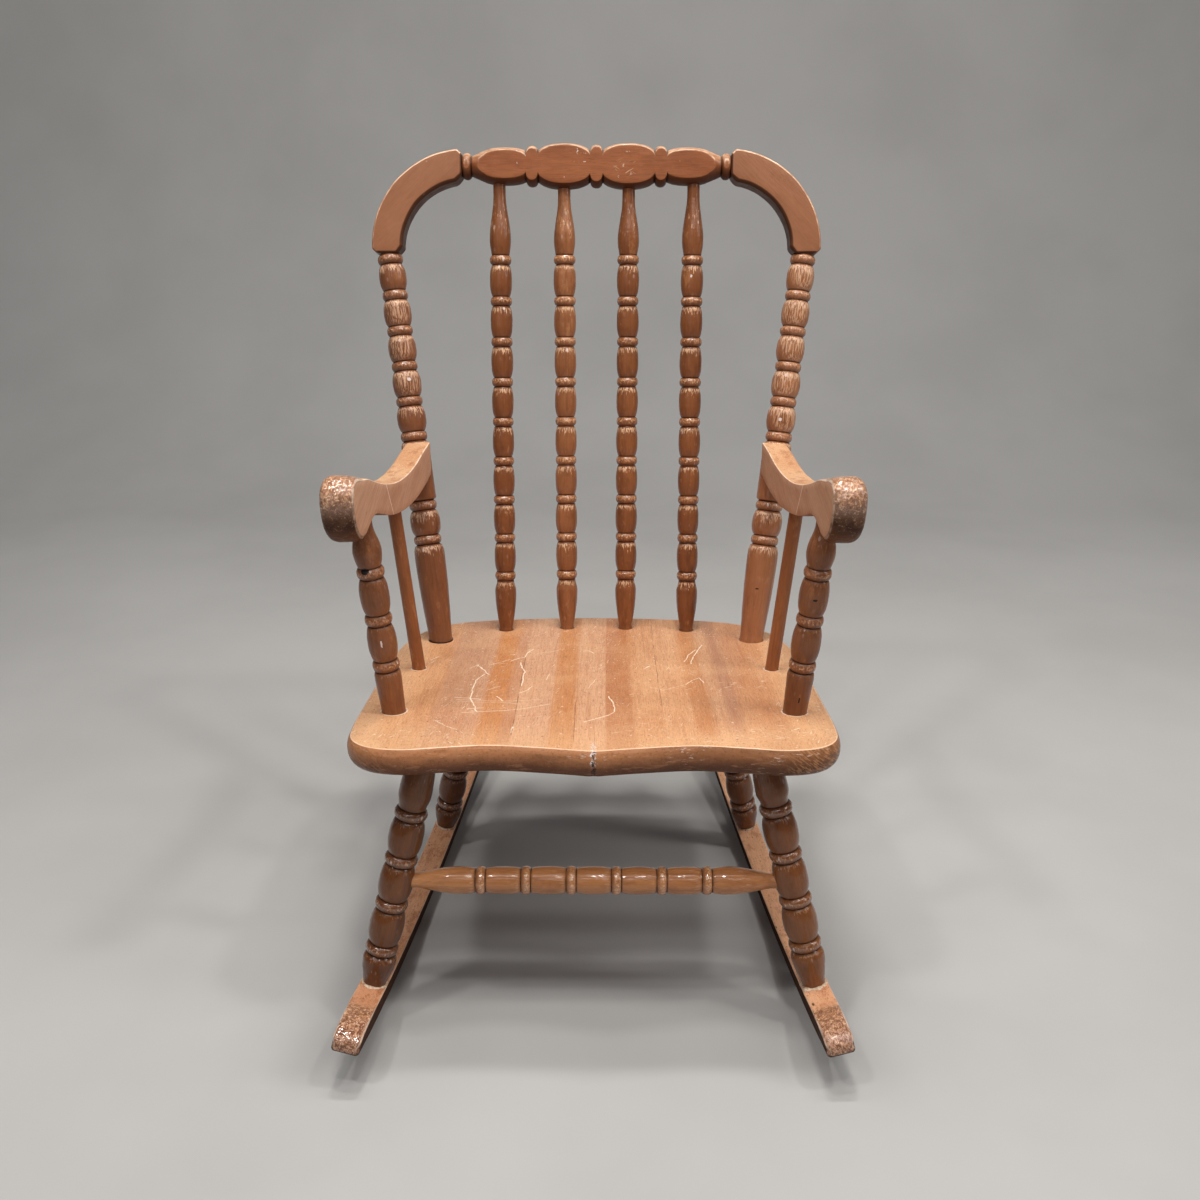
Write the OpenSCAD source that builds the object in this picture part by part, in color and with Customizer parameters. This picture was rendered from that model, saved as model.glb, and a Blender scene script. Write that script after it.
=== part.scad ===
// Spindle back rocking chair, child size, in millimetres.
// X runs to the viewer's right, the chair faces -Y, Z is up.
// Origin: on the floor, under the middle of the chair's outline.

/* [Seat] */
// Widest width of the seat
seat_w = 414; // [406:1:420]
// Depth of the seat along its slope, front point to rear edge
seat_d = 389; // [386:1:396]
// Thickness of the seat panel
seat_t = 25; // [23:0.5:28]
// Height of the seat's top face at its front edge
seat_h = 283; // [274:1:294]
// Backward tilt of the seat
seat_tilt = 4.5; // [3.5:0.1:5.5]

/* [Back] */
// Backward rake of the posts and the crest, from vertical
back_rake = 13.3; // [12.5:0.1:14]
// Height of the crest rail's centre above the floor
crest_z = 726.7; // [705:1:750]
// Thickness of the crest rail and the corner blocks, milled flat front and back
crest_t = 24; // [22:0.5:26]
// Radius of the crest rail's two inner lobes
crest_r = 22.1; // [21:0.1:23]
// Outer radius of the corner blocks' quarter arc
corner_ro = 95; // [93:0.5:97]
// Inner radius of the corner blocks' quarter arc
corner_ri = 64; // [62.5:0.5:66]
// Radius of the back posts' lowest barrels
post_r = 15.5; // [14.5:0.1:16]
// Radius of the back posts' feet, which stand in the seat
post_foot_r = 11.9; // [11:0.1:12.5]

/* [Spindles] */
// Spacing of the turned beads along a spindle
spindle_pitch = 40.7; // [40:0.1:41.5]
// Radius of the spindle beads
spindle_r = 11; // [10:0.1:12]
// Radius of the spindle feet
spindle_foot_r = 7; // [6.5:0.1:8]

/* [Arms] */
// Width of the arm at its scrolled front
arm_front_w = 27; // [25:0.5:29]
// Width of the arm at the back post
arm_rear_w = 24; // [22:0.5:26]
// Radius of the arm posts' barrels
arm_post_r = 12.5; // [11.5:0.1:13.5]
// Diameter of the plain dowels under the arms
dowel_d = 12.7; // [11:0.1:14]

/* [Legs] */
// Radius of the front legs' middle barrels
leg_r = 15.2; // [14.5:0.1:16]
// Spacing of the turned beads along a leg
leg_pitch = 43.3; // [42.5:0.1:44]
// Radius of the front stretcher's beads
stretcher_r = 12.2; // [11:0.1:13]

/* [Rockers] */
// Radius of the rockers' lower edge
rocker_r = 1100; // [1050:10:1200]
// Height of a rocker's section
rocker_d = 23.5; // [22:0.5:25]
// Width of a rocker's section
rocker_w = 24; // [23:0.5:26]
// Length of a rocker ahead of the point it stands on
rocker_front = 287; // [278:1:297]
// Length of a rocker behind the point it stands on
rocker_rear = 287; // [278:1:300]
// Lean of the rockers, which follows the splay of the legs
rocker_cant = 12.6; // [11:0.1:13.5]

/* [Hidden] */
$fn = 64;

wood_red   = [0.55, 0.35, 0.23];
wood_tan   = [0.68, 0.49, 0.36];
wood_honey = [0.60, 0.40, 0.25];
wood_seat  = [0.66, 0.46, 0.32];
steel      = [0.72, 0.70, 0.64];

fit = 0.1;            // glue room round every tenon
eps = 0.02;

// Every y below is counted from the seat's front edge; this brings the
// point that the rockers stand on to y = 0.
y_mid = 217;
function S(p) = [p[0], p[1] - y_mid, p[2]];

// Height of the seat's top face and underside at a distance y from the front
function top_z(y) = seat_h - y * tan(seat_tilt);
function under_z(y) = top_z(y) - seat_t / cos(seat_tilt);

// Crest centre, and the post's foot on the seat
crest_y = 408.5;
post_x = 163.1;
post_y = crest_y - (crest_z - 259.5) * tan(back_rake);
post_foot = [post_x, post_y, top_z(post_y)];
block_x = 130.5;      // centre of the quarter arc, measured from the middle
block_v = -80;        // the same, along the slope from the crest's centre
block_end = 134.5;    // the block's end at the crest
// The post meets the block here
post_top_v = block_v - 6;
post_top = [block_x + (corner_ro + corner_ri) / 2 - 0.4,
            crest_y + post_top_v * sin(back_rake),
            crest_z + post_top_v * cos(back_rake)];
post_len = norm(post_top - post_foot);
function on_post(s) = post_foot + (post_top - post_foot) * s / post_len;

// Spindles: feet on the seat, tops at the crest's centre
spindle_feet_x = [97.1, 31.6];
spindle_tops_x = [97.9, 32.6];
spindle_feet_y = [333.3, 340.9];
spindle_cuts = [457.5, 453];   // where the neck enters the crest

// Arm post, dowel and arm
arm_post_foot = [175.5, 86.4, top_z(86.4)];
arm_post_dir = [14.1, -5.5, 163.5];
dowel_foot = [171.4, 202.4, top_z(202.4)];
dowel_dir = [14.2, -0.8, 152.6];

// Legs
front_top = [144.9, 46.2, under_z(46.2)];
rear_top = [127, 285, under_z(285)];
stand_y = y_mid;      // the rockers touch the floor here at rest
toe = 5.5;            // each rocker turns in by this angle towards the rear
rocker_x = 185.6;     // middle of a rocker where it stands
worn = 1;             // flat worn along the inner lower edge
// A point on the rocker's middle plane, u behind the standing point and h up
// the leaning section
rocker_p = [rocker_x, stand_y, rocker_w / 2 * sin(rocker_cant) - worn];
function on_rocker(u, h) = rocker_p + [-u * sin(toe) - h * sin(rocker_cant) * cos(toe),
  u * cos(toe) - h * sin(rocker_cant) * sin(toe), h * cos(rocker_cant)];
function rocker_top(u) = on_rocker(u, rocker_r - sqrt(pow(rocker_r - rocker_d, 2) - u * u));
front_foot = rocker_top(-197.5);
rear_foot = rocker_top(97.4);
module rocker_frame() translate(S(rocker_p)) rotate([0, 0, toe]) rotate([0, -rocker_cant, 0]) children();

stretcher_at = 0.54; // how far down the leg the stretcher enters
stretcher_p = front_top + (front_foot - front_top) * stretcher_at;

// ---------------------------------------------------------------- helpers

// Puts +Z along the line from a to b, with the origin at a
module along(a, b) {
  d = b - a;
  translate(S(a))
    rotate([0, acos(d[2] / norm(d)), atan2(d[1], d[0])])
      children();
}
module sides(left) { if (left) mirror([1, 0, 0]) children(); else children(); }

// Turned shapes: each function gives the points [radius, height] of one
// element of a turning, from low to high
function bead(z, r, h, e = 2) =
  [for (i = [0:4]) let (a = -90 + 45 * i) [r - e + e * cos(a), z + h / 2 * sin(a)]];
function barrel(z0, z1, ra, rm, rb) =
  [for (i = [0:6]) let (t = i / 6, base = ra + (rb - ra) * t)
    [base + (rm - base) * pow(1 - pow(abs(2 * t - 1), 2.4), 0.8), z0 + (z1 - z0) * t]];
function lerp(a, b, t) = a + (b - a) * t;
// A smooth swell from ra at z0 to rb at z1, largest, rm, at a share c
function vase(z0, z1, ra, rm, rb, c) =
  [for (i = [0:8]) let (t = i / 8)
    [t < c ? lerp(ra, rm, sin(90 * t / c)) : lerp(rb, rm, (1 + cos(180 * (t - c) / (1 - c))) / 2),
     z0 + (z1 - z0) * t]];
module turned(pts) {
  n = len(pts);
  rotate_extrude() polygon(concat([[0, pts[0][1]]], pts, [[0, pts[n - 1][1]]]));
}
function flat2(l) = [for (a = l) for (b = a) b];

// Curve through control points
function cr(p0, p1, p2, p3, t) =
  0.5 * (2 * p1 + (p2 - p0) * t + (2 * p0 - 5 * p1 + 4 * p2 - p3) * t * t
  + (3 * p1 - p0 - 3 * p2 + p3) * t * t * t);
function spline(p, n) = let (m = len(p))
  concat([for (i = [0:m - 2]) for (k = [0:n - 1])
    cr(p[max(i - 1, 0)], p[i], p[i + 1], p[min(i + 2, m - 1)], k / n)], [p[m - 1]]);

// ---------------------------------------------------------------- seat

// Right half of the widest outline, from the front point to the rear edge:
// a shield with a serpentine front.
half_seat = [[0, -6], [40, 1], [84, 6], [122, 1.5], [155, -3.5], [184, 2], [202, 20],
  [207, 50], [207, 110], [206.5, 180], [205, 240], [200, 287], [186, 328],
  [160, 356], [122, 371], [60, 380], [0, 383]];
seat_kx = seat_w / 414;
seat_ky = seat_d / 389;
right_edge = [for (p = spline(half_seat, 3)) [p[0] * seat_kx, p[1] * seat_ky]];
n_right = len(right_edge);
outline = concat(right_edge, [for (i = [n_right - 2:-1:1]) [-right_edge[i][0], right_edge[i][1]]]);
n_out = len(outline);
function unit(v) = v / norm(v);
function inward(i) = let (d = unit(outline[(i + 1) % n_out] - outline[(i + n_out - 1) % n_out]))
  [-d[1], d[0]];
// The rounded edge: how far in it is at each depth below the top face
edge_in = [[1, 3.6], [0, 3.2], [-3.5, 1.1], [-8, 0], [-14, 0.2], [-19.5, 2], [-23.3, 5.5], [-25, 10]];
edge_rows = len(edge_in);
module seat_blank() {
  pts = flat2([for (e = edge_in) [for (i = [0:n_out - 1])
    let (q = outline[i] + inward(i) * e[1], z = e[0] > 0 ? e[0] : e[0] * seat_t / 25)
      [q[0], q[1], z]]]);
  sides_f = flat2([for (r = [0:edge_rows - 2]) [for (i = [0:n_out - 1])
    let (j = (i + 1) % n_out) [r * n_out + i, r * n_out + j, (r + 1) * n_out + j, (r + 1) * n_out + i]]]);
  polyhedron(points = pts, faces = concat(
    [[for (i = [n_out - 1:-1:0]) i]], sides_f,
    [[for (i = [0:n_out - 1]) (edge_rows - 1) * n_out + i]]), convexity = 4);
}
module seat_body() {
  translate(S([0, 0, seat_h])) rotate([-seat_tilt, 0, 0])
    difference() {
      seat_blank();
      translate([-300, -100, 0]) cube([600, 600, 10]);
    }
}
// A blind socket along the line from a, in the direction of b, depth long
module socket(a, b, r, depth, out = 12) {
  along(a, b) translate([0, 0, -out]) cylinder(r = r + fit, h = out + depth);
}
module seat() color(wood_seat) difference() {
  seat_body();
  for (left = [false, true]) sides(left) {
    socket(post_foot, 2 * post_foot - post_top, post_foot_r, 18);
    for (k = [0, 1]) socket(spindle_foot(k), 2 * spindle_foot(k) - spindle_top(k), spindle_foot_r, 16);
    socket(arm_post_foot, arm_post_foot - arm_post_dir, 10.3, 17);
    socket(dowel_foot, dowel_foot - dowel_dir, dowel_d / 2, 15);
    socket(front_top, 2 * front_top - front_foot, 12.2, 16);
    socket(rear_top, 2 * rear_top - rear_foot, 12.2, 16);
  }
}

// ---------------------------------------------------------------- back

function spindle_foot(k) = [spindle_feet_x[k], spindle_feet_y[k], top_z(spindle_feet_y[k])];
function spindle_top(k) = [spindle_tops_x[k], crest_y, crest_z];

// Post: a plain tapered foot, two beads, the plain length that takes the
// arm, then six beads up to the corner block
post_beads = [105.6, 141.3];
post_beads_up = [for (k = [0:5]) 212.7 + 35.7 * k];
function post_br(s) = lerp(14.2, 12.8, (s - 105) / 286) * post_r / 15.5;
function post_mr(s) = lerp(15.6, 13.7, (s - 105) / 286) * post_r / 15.5;
module post_turning() {
  turned(concat(
    [[post_foot_r, -17], [post_foot_r, 4]],
    [for (i = [1:7]) [lerp(post_foot_r, post_mr(100), sin(90 * i / 7)), 4 + 84 * i / 7]],
    [[post_mr(100) - 0.6, 95], [post_br(105) - 2, 100.6]],
    bead(post_beads[0], post_br(105.6), 9.6),
    barrel(110.6, 136.3, post_br(120) - 2, post_mr(123), post_br(130) - 2),
    bead(post_beads[1], post_br(141.3), 9.6),
    [[post_br(150) - 2, 146.4], [14.4, 149], [14.4, 203], [post_br(205) - 2, 207.6]],
    bead(post_beads_up[0], post_br(post_beads_up[0]), 9.6),
    flat2([for (k = [0:4]) let (a = post_beads_up[k], b = post_beads_up[k + 1])
      concat(barrel(a + 5, b - 5, post_br(a) - 2, post_mr((a + b) / 2), post_br(b) - 2),
             bead(b, post_br(b), 9.6))]),
    [[post_br(400) - 2.5, post_len + 6]]));
}
// The crest's own frame: origin at its centre, z along the slope, y to the rear
module crest_frame() translate(S([0, crest_y, crest_z])) rotate([-back_rake, 0, 0]) children();
arm_screw_s = 190;    // where the screw crosses the post
module arm_screw_hole() {
  p = on_post(arm_screw_s);
  translate(S([p[0], p[1] + 20, p[2]])) rotate([90, 0, 0]) cylinder(r = 2.1 + fit, h = 62);
  translate(S([p[0], p[1] + 30, p[2]])) rotate([90, 0, 0]) cylinder(r = 4 + fit, h = 30 - 9);
}
module back_post(left) color(wood_red) sides(left) difference() {
  union() {
    difference() {
      along(post_foot, post_top) post_turning();
      crest_frame() translate([0, -60, post_top_v - 0.05]) cube([400, 120, 60]);
    }
    along(post_foot, post_top) translate([0, 0, post_len - 8]) cylinder(r = 6.3, h = 28);
  }
  arm_screw_hole();
}

// Spindle: nine beads, a long neck above and a short vase below
module spindle(k, left) color(wood_red) sides(left) {
  f = spindle_foot(k); t = spindle_top(k); b0 = 59.5; cut = spindle_cuts[k];
  r = spindle_r; e = 2;
  along(f, t) turned(concat(
    [[spindle_foot_r, -15], [spindle_foot_r, 3]],
    vase(3.5, b0 - 5, spindle_foot_r, r + 0.3, r - e, 0.76),
    bead(b0, r, 9.4),
    flat2([for (i = [0:7]) let (a = b0 + spindle_pitch * i, c = b0 + spindle_pitch * (i + 1))
      concat(barrel(a + 5, c - 5, r - e, r + 0.3, r - e), bead(c, r, 9.4))]),
    vase(b0 + 8 * spindle_pitch + 5, cut - 8, r - e, r - 0.2, 6.35, 0.25),
    [[6.35, cut - 7], [6.35, cut + 14]]));
}

// Crest rail: turned in one piece, then milled flat front and back
module crest_turning() {
  half = concat(
    [[20.7, 0]], [for (i = [1:3]) let (a = 30 * i) [15.2 + 5.5 * cos(a), 6.2 * sin(a)]],
    barrel(6.5, 58.1, 15.6, crest_r, 15.4),
    bead(64.4, 19.7, 12, 5),
    barrel(70.7, 112, 14.9, 18.2, 15),
    [[13.5, 116], [11, 122], [9.8, 124.6]],
    bead(129.8, 12.7, 9.2, 2),
    [[10.7, block_end - 0.05], [6.3, block_end - 0.05], [6.3, block_end + 17]]);
  n = len(half);
  rotate([0, 90, 0]) rotate_extrude()
    polygon(concat([[0, -half[n - 1][1]]], [for (i = [n - 1:-1:1]) [half[i][0], -half[i][1]]],
      half, [[0, half[n - 1][1]]]));
}
module crest_rail() color(wood_red) difference() {
  crest_frame() intersection() {
    crest_turning();
    translate([-200, -crest_t / 2, -40]) cube([400, crest_t, 80]);
  }
  for (left = [false, true]) sides(left) for (k = [0, 1])
    socket(spindle_on(k, spindle_cuts[k]), spindle_top(k), 6.35, 15);
}
function spindle_on(k, s) = spindle_foot(k)
  + (spindle_top(k) - spindle_foot(k)) * s / norm(spindle_top(k) - spindle_foot(k));

// Corner block: a quarter arc sawn from a board, between post and crest
module corner_block(left) color(wood_red) sides(left) difference() {
  crest_frame() difference() {
    translate([block_x, crest_t / 2, block_v]) rotate([90, 0, 0]) difference() {
      cylinder(r = corner_ro, h = crest_t, $fn = 128);
      translate([0, 0, -1]) cylinder(r = corner_ri, h = crest_t + 2, $fn = 128);
    }
    translate([block_end - 300, -50, -250]) cube([300, 100, 500]);
    translate([0, -50, post_top_v - 400]) cube([400, 100, 400]);
    // dowel-like tenon of the crest
    translate([block_end - 1, 0, 0]) rotate([0, 90, 0]) cylinder(r = 6.3 + fit, h = 19.5);
  }
  along(post_foot, post_top) translate([0, 0, post_len - 10]) cylinder(r = 6.3 + fit, h = 31);
}

// ---------------------------------------------------------------- arms

// Side outline of the arm: distance from the seat's front, height above the
// seat's top face. The scrolled front first, then along the top to the rear.
arm_top_line = [[42, 164.5], [31, 168.5], [21, 179], [15.5, 196], [18.5, 210], [29, 218.5], [42, 219],
  [60, 214.5], [86, 207], [112, 200.5], [140, 195], [178, 190.5], [220, 190], [262, 193.5],
  [300, 200], [345, 206]];
arm_low_line = [[345, 174], [328, 170.5], [300, 165.5], [262, 161], [222, 159.5], [186, 161],
  [158, 164], [132, 168.5], [108, 174.5], [92, 177.8], [77, 177], [65, 172], [54, 166.5], [42, 164.5]];
arm_outline = concat(spline(arm_top_line, 4), [for (i = [0:len(spline(arm_low_line, 3)) - 2])
  spline(arm_low_line, 3)[i]]);
// Inner face of the arm in plan: from 183 at the front to 170.5 at the rear
function arm_in(y) = 183 - (y - 15) * 12.5 / 313;
module arm_solid() {
  intersection() {
    translate([0, -y_mid, 0]) rotate([90, 0, 90]) translate([0, 0, 150])
      linear_extrude(height = 80, convexity = 6)
        polygon([for (p = arm_outline) [p[0], p[1] + top_z(p[0])]]);
    translate([0, -y_mid, 0]) translate([0, 0, 350]) linear_extrude(height = 250)
      polygon([[arm_in(0), 0], [arm_in(0) + arm_front_w, 0], [arm_in(70) + arm_front_w, 70],
        [arm_in(120) + lerp(arm_rear_w, arm_front_w, 0.45), 120],
        [arm_in(170) + lerp(arm_rear_w, arm_front_w, 0.1), 170],
        [arm_in(360) + arm_rear_w, 360], [arm_in(360), 360]]);
  }
}
module arm(left) color(wood_tan) sides(left) difference() {
  arm_solid();
  // coped to the post's plain length, and cut away behind it
  along(post_foot, post_top) cylinder(r = 14.45, h = post_len);
  translate(S([100, 0, 0])) translate([0, on_post(arm_screw_s)[1] - 7, 300]) cube([150, 100, 300]);
  along(arm_post_foot, arm_post_foot + arm_post_dir) translate([0, 0, 150]) cylinder(r = 8 + fit, h = 50);
  along(dowel_foot, dowel_foot + dowel_dir) translate([0, 0, 130]) cylinder(r = dowel_d / 2 + fit, h = 47);
  arm_screw_hole();
}

module arm_post(left) color(wood_red) sides(left) {
  r = arm_post_r; br = r - 0.8; e = 2;
  along(arm_post_foot, arm_post_foot + arm_post_dir) turned(concat(
    [[10.3, -16], [10.3, 3]],
    [for (i = [1:4]) [lerp(10.3, 11.6, i / 4), 3 + 30 * i / 4]],
    [[br - e, 40.4]],
    bead(45.6, br, 9.8),
    barrel(50.8, 83, br - e, r, br - e), bead(88.2, br, 9.8),
    barrel(93.4, 125.5, br - e, r, br - e), bead(130.7, br, 9.8),
    vase(135.9, 172, br - e, r - 0.4, 8, 0.35),
    [[8, 173], [8, 197.5]]));
}
module arm_dowel(left) color(wood_red) sides(left)
  along(dowel_foot, dowel_foot + dowel_dir) translate([0, 0, -14]) cylinder(d = dowel_d, h = 190);

// Two screws, driven from behind through the posts into the arms
module arm_screw() {
  p = on_post(arm_screw_s);
  translate(S([p[0], p[1] + 13, p[2]])) rotate([90, 0, 0]) {
    rotate_extrude() polygon([[0, 1], [4, 1], [4, 2.2], [2.1, 4.2], [2.1, 46], [1.2, 50], [0, 50]]);
  }
}
module arm_screws() color(steel) for (left = [false, true]) sides(left) arm_screw();

// ---------------------------------------------------------------- legs

// Space above a rocker's curved top, out to its whole length
module above_rocker() {
  rocker_frame() translate([-80, 0, rocker_r]) rotate([0, 90, 0])
    cylinder(r = rocker_r - rocker_d - 0.05, h = 160, $fn = 360);
}
module leg(top, foot, beads, foot_r, r, hole) {
  L = norm(foot - top); br = r - 0.7; e = 2.6; n = len(beads);
  difference() {
    union() {
      intersection() {
        along(top, foot) turned(concat(
          [[12.2, -15], [12.2, 4]],
          vase(4.2, beads[0] - 5.3, 12.2, r - 0.9, br - e, 0.72),
          bead(beads[0], br, 10, e),
          flat2([for (k = [0:n - 2]) let (a = beads[k], b = beads[k + 1])
            concat(barrel(a + 5.2, b - 5.2, br - e, r, br - e), bead(b, br, 10, e))]),
          vase(beads[n - 1] + 5.2, L + 6, br - e, r - 0.2, foot_r - 0.6, 0.16)));
        above_rocker();
      }
      along(top, foot) translate([0, 0, L - 12]) cylinder(r = 6.3, h = 24);
    }
    if (hole) translate(S([stretcher_p[0] - 40, stretcher_p[1], stretcher_p[2]]))
      rotate([0, 90, 0]) cylinder(r = 6.5 + fit, h = 37);
  }
}
// The right leg's beads sit a little higher than the left's
function front_beads(left) = [for (k = [0:3]) (left ? 54 : 48.5) + leg_pitch * k];
module front_leg(left) color(wood_red) sides(left)
  leg(front_top, front_foot, front_beads(left), 10.3, leg_r, true);
module rear_leg(left) color(wood_red) sides(left)
  leg(rear_top, rear_foot, [for (k = [0:3]) norm(rear_foot - rear_top) - 32.3 - leg_pitch * (3 - k)],
    10, leg_r - 0.3, false);

module front_stretcher() color(wood_honey) {
  r = stretcher_r; e = 1.8; p = stretcher_p; b = [for (k = [0:5]) (k - 2.5) * 39.3];
  end = p[0] - 4; cone = [for (i = [0:7]) let (t = i / 7)
    [lerp(6.5, r - 0.3, pow(sin(90 * t), 1.2)), t * 37]];
  translate(S([0, p[1], p[2]])) rotate([0, 90, 0]) turned(concat(
    [[6.5, -end], [6.5, -154]],
    [for (q = cone) [q[0], -153.5 + q[1]]], [[r - 0.9, -108], [r - e, -102.9]],
    bead(b[0], r, 8.8, e),
    flat2([for (k = [0:4]) concat(barrel(b[k] + 4.6, b[k + 1] - 4.6, r - e, r - 0.4, r - e),
      bead(b[k + 1], r, 8.8, e))]),
    [[r - e, 102.9], [r - 0.9, 108]], [for (i = [7:-1:0]) [cone[i][0], 153.5 - cone[i][1]]],
    [[6.5, 154], [6.5, end]]));
}

// Rocker: an arc sawn from a board, leaning with the legs, rounded over at
// its nose and tail, and worn flat along the edge it runs on
module rocker(left) color(wood_tan) sides(left) difference() {
  intersection() {
    rocker_frame() translate([-rocker_w / 2, 0, 0]) rotate([90, 0, 90])
      linear_extrude(height = rocker_w, convexity = 4) polygon(rocker_side());
    translate(S([rocker_x, stand_y, 0])) rotate([0, 0, toe]) translate([-80, 0, 0]) rotate([90, 0, 90])
      linear_extrude(height = 160, convexity = 4) polygon(floor_side());
  }
  along(front_top, front_foot) translate([0, 0, norm(front_foot - front_top) - 4]) cylinder(r = 6.3 + fit, h = 17);
  along(rear_top, rear_foot) translate([0, 0, norm(rear_foot - rear_top) - 4]) cylinder(r = 6.3 + fit, h = 17);
}
// What lies above the worn edge: its lowest chord is on the floor
function floor_side() = let (R = rocker_r / cos(rocker_cant), n = 24, sag = R * (1 - cos(rock_step / 2)))
  concat([for (i = [-n - 1:n]) let (a = (i + 0.5) * rock_step) [R * sin(a), R - R * cos(a) - sag]],
    [[340, 150], [-340, 150]]);
rock_step = 0.7;      // degrees between the points of the rocker's arc
// Points of a rounded end of length L at the distance u0, which closes the
// section from its top, over the nose, to the lower edge; d is +1 or -1
function rock_low(u) = rocker_r - sqrt(pow(rocker_r, 2) - pow(u, 2));
function rocker_end(u1, L, tip, d) = concat(
  [for (i = [0:7]) let (q = 90 * i / 7, u = u1 - L + L * pow(sin(q), 0.85))
    [d * u, rock_low(u) + tip + (rocker_d - tip) * pow(max(cos(q), 0), 0.85)]],
  [for (i = [1:4]) let (q = 90 * i / 4, u = u1 - 4.5 + 4.5 * cos(q))
    [d * u, rock_low(u) + tip * (1 - sin(q))]]);
function rocker_side() =
  let (n0 = floor(asin((rocker_front - 5) / rocker_r) / rock_step - 0.5),
       n1 = floor(asin((rocker_rear - 5) / rocker_r) / rock_step - 0.5),
       R = rocker_r, Q = rocker_r - rocker_d,
       nose = rocker_end(rocker_front, 37, 5, -1), tail = rocker_end(rocker_rear, 30, 9, 1))
  concat(
    // lower edge from nose to tail, flat at the point it stands on
    [for (i = [-n0 - 1:n1]) let (a = (i + 0.5) * rock_step) [R * sin(a), R - R * cos(a)]],
    [for (i = [len(tail) - 1:-1:0]) tail[i]],
    // upper edge from tail to nose
    [for (i = [n1 - 2:-1:-n0 + 1]) let (a = (i + 0.5) * rock_step) [Q * sin(a), R - Q * cos(a)]],
    nose);

seat();
back_post(true);  // back_post_left
back_post(false);  // back_post_right
spindle(0, true);  // spindle_1
spindle(1, true);  // spindle_2
spindle(1, false);  // spindle_3
spindle(0, false);  // spindle_4
crest_rail();
corner_block(true);  // corner_block_left
corner_block(false);  // corner_block_right
arm(true);  // arm_left
arm(false);  // arm_right
arm_post(true);  // arm_post_left
arm_post(false);  // arm_post_right
arm_dowel(true);  // arm_dowel_left
arm_dowel(false);  // arm_dowel_right
front_leg(true);  // front_leg_left
front_leg(false);  // front_leg_right
rear_leg(true);  // rear_leg_left
rear_leg(false);  // rear_leg_right
front_stretcher();
rocker(true);  // rocker_left
rocker(false);  // rocker_right
arm_screws();
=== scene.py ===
"""Child's spindle back rocking chair: fine meshes and worn wood finishes over the
CAD frame. Lengths in the geometry part are in millimetres, y from the seat's front
edge; to_m() brings them to the row frame in metres."""

import math

import bmesh
import bpy
import numpy as np
from mathutils import Matrix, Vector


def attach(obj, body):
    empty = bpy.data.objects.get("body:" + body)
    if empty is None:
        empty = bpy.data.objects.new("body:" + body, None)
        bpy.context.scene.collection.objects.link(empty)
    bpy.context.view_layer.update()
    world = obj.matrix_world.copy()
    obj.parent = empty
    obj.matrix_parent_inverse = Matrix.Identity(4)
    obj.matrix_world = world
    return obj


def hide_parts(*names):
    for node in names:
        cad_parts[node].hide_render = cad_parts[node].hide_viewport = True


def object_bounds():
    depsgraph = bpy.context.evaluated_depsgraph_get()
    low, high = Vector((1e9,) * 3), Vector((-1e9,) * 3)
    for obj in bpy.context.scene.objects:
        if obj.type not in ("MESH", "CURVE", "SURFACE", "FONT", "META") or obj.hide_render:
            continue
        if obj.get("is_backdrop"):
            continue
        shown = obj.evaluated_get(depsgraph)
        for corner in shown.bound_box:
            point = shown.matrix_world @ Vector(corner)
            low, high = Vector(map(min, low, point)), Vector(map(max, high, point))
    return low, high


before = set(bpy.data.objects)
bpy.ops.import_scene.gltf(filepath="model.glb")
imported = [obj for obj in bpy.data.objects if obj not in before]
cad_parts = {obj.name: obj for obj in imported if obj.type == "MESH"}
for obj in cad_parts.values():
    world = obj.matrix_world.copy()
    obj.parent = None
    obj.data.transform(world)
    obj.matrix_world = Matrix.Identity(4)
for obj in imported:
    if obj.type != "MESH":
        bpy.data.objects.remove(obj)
size_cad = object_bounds()

# ------------------------------------------------------------------ geometry
Y_MID = 217.0
SEAT_H, TILT = 283.0, math.radians(4.5)
RAKE = math.radians(13.3)
CREST_Y, CREST_Z, CREST_T = 408.5, 726.7, 24.0
BLOCK_X, BLOCK_V, RO, RI, BLOCK_END = 130.5, -80.0, 95.0, 64.0, 134.5
POST_TOP_V = BLOCK_V - 6


def A(*v):
    return np.array(v, float)


def lerp(a, b, t):
    return a + (b - a) * t


def sm(x, lo, hi):
    """0 at lo, 1 at hi, smooth between; lo may be above hi."""
    t = np.clip((np.asarray(x, float) - lo) / (hi - lo), 0, 1)
    return t * t * (3 - 2 * t)


def top_z(y):
    return SEAT_H - y * math.tan(TILT)


def under_z(y):
    return top_z(y) - 25 / math.cos(TILT)


def to_m(p):
    q = np.array(p, float)
    q[..., 1] -= Y_MID
    return q * 0.001


post_y = CREST_Y - (CREST_Z - 259.5) * math.tan(RAKE)
POST_FOOT = A(163.1, post_y, top_z(post_y))
POST_TOP = A(BLOCK_X + (RO + RI) / 2 - 0.4, CREST_Y + POST_TOP_V * math.sin(RAKE),
             CREST_Z + POST_TOP_V * math.cos(RAKE))
POST_LEN = float(np.linalg.norm(POST_TOP - POST_FOOT))


def on_post(s):
    return POST_FOOT + (POST_TOP - POST_FOOT) * s / POST_LEN


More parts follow.
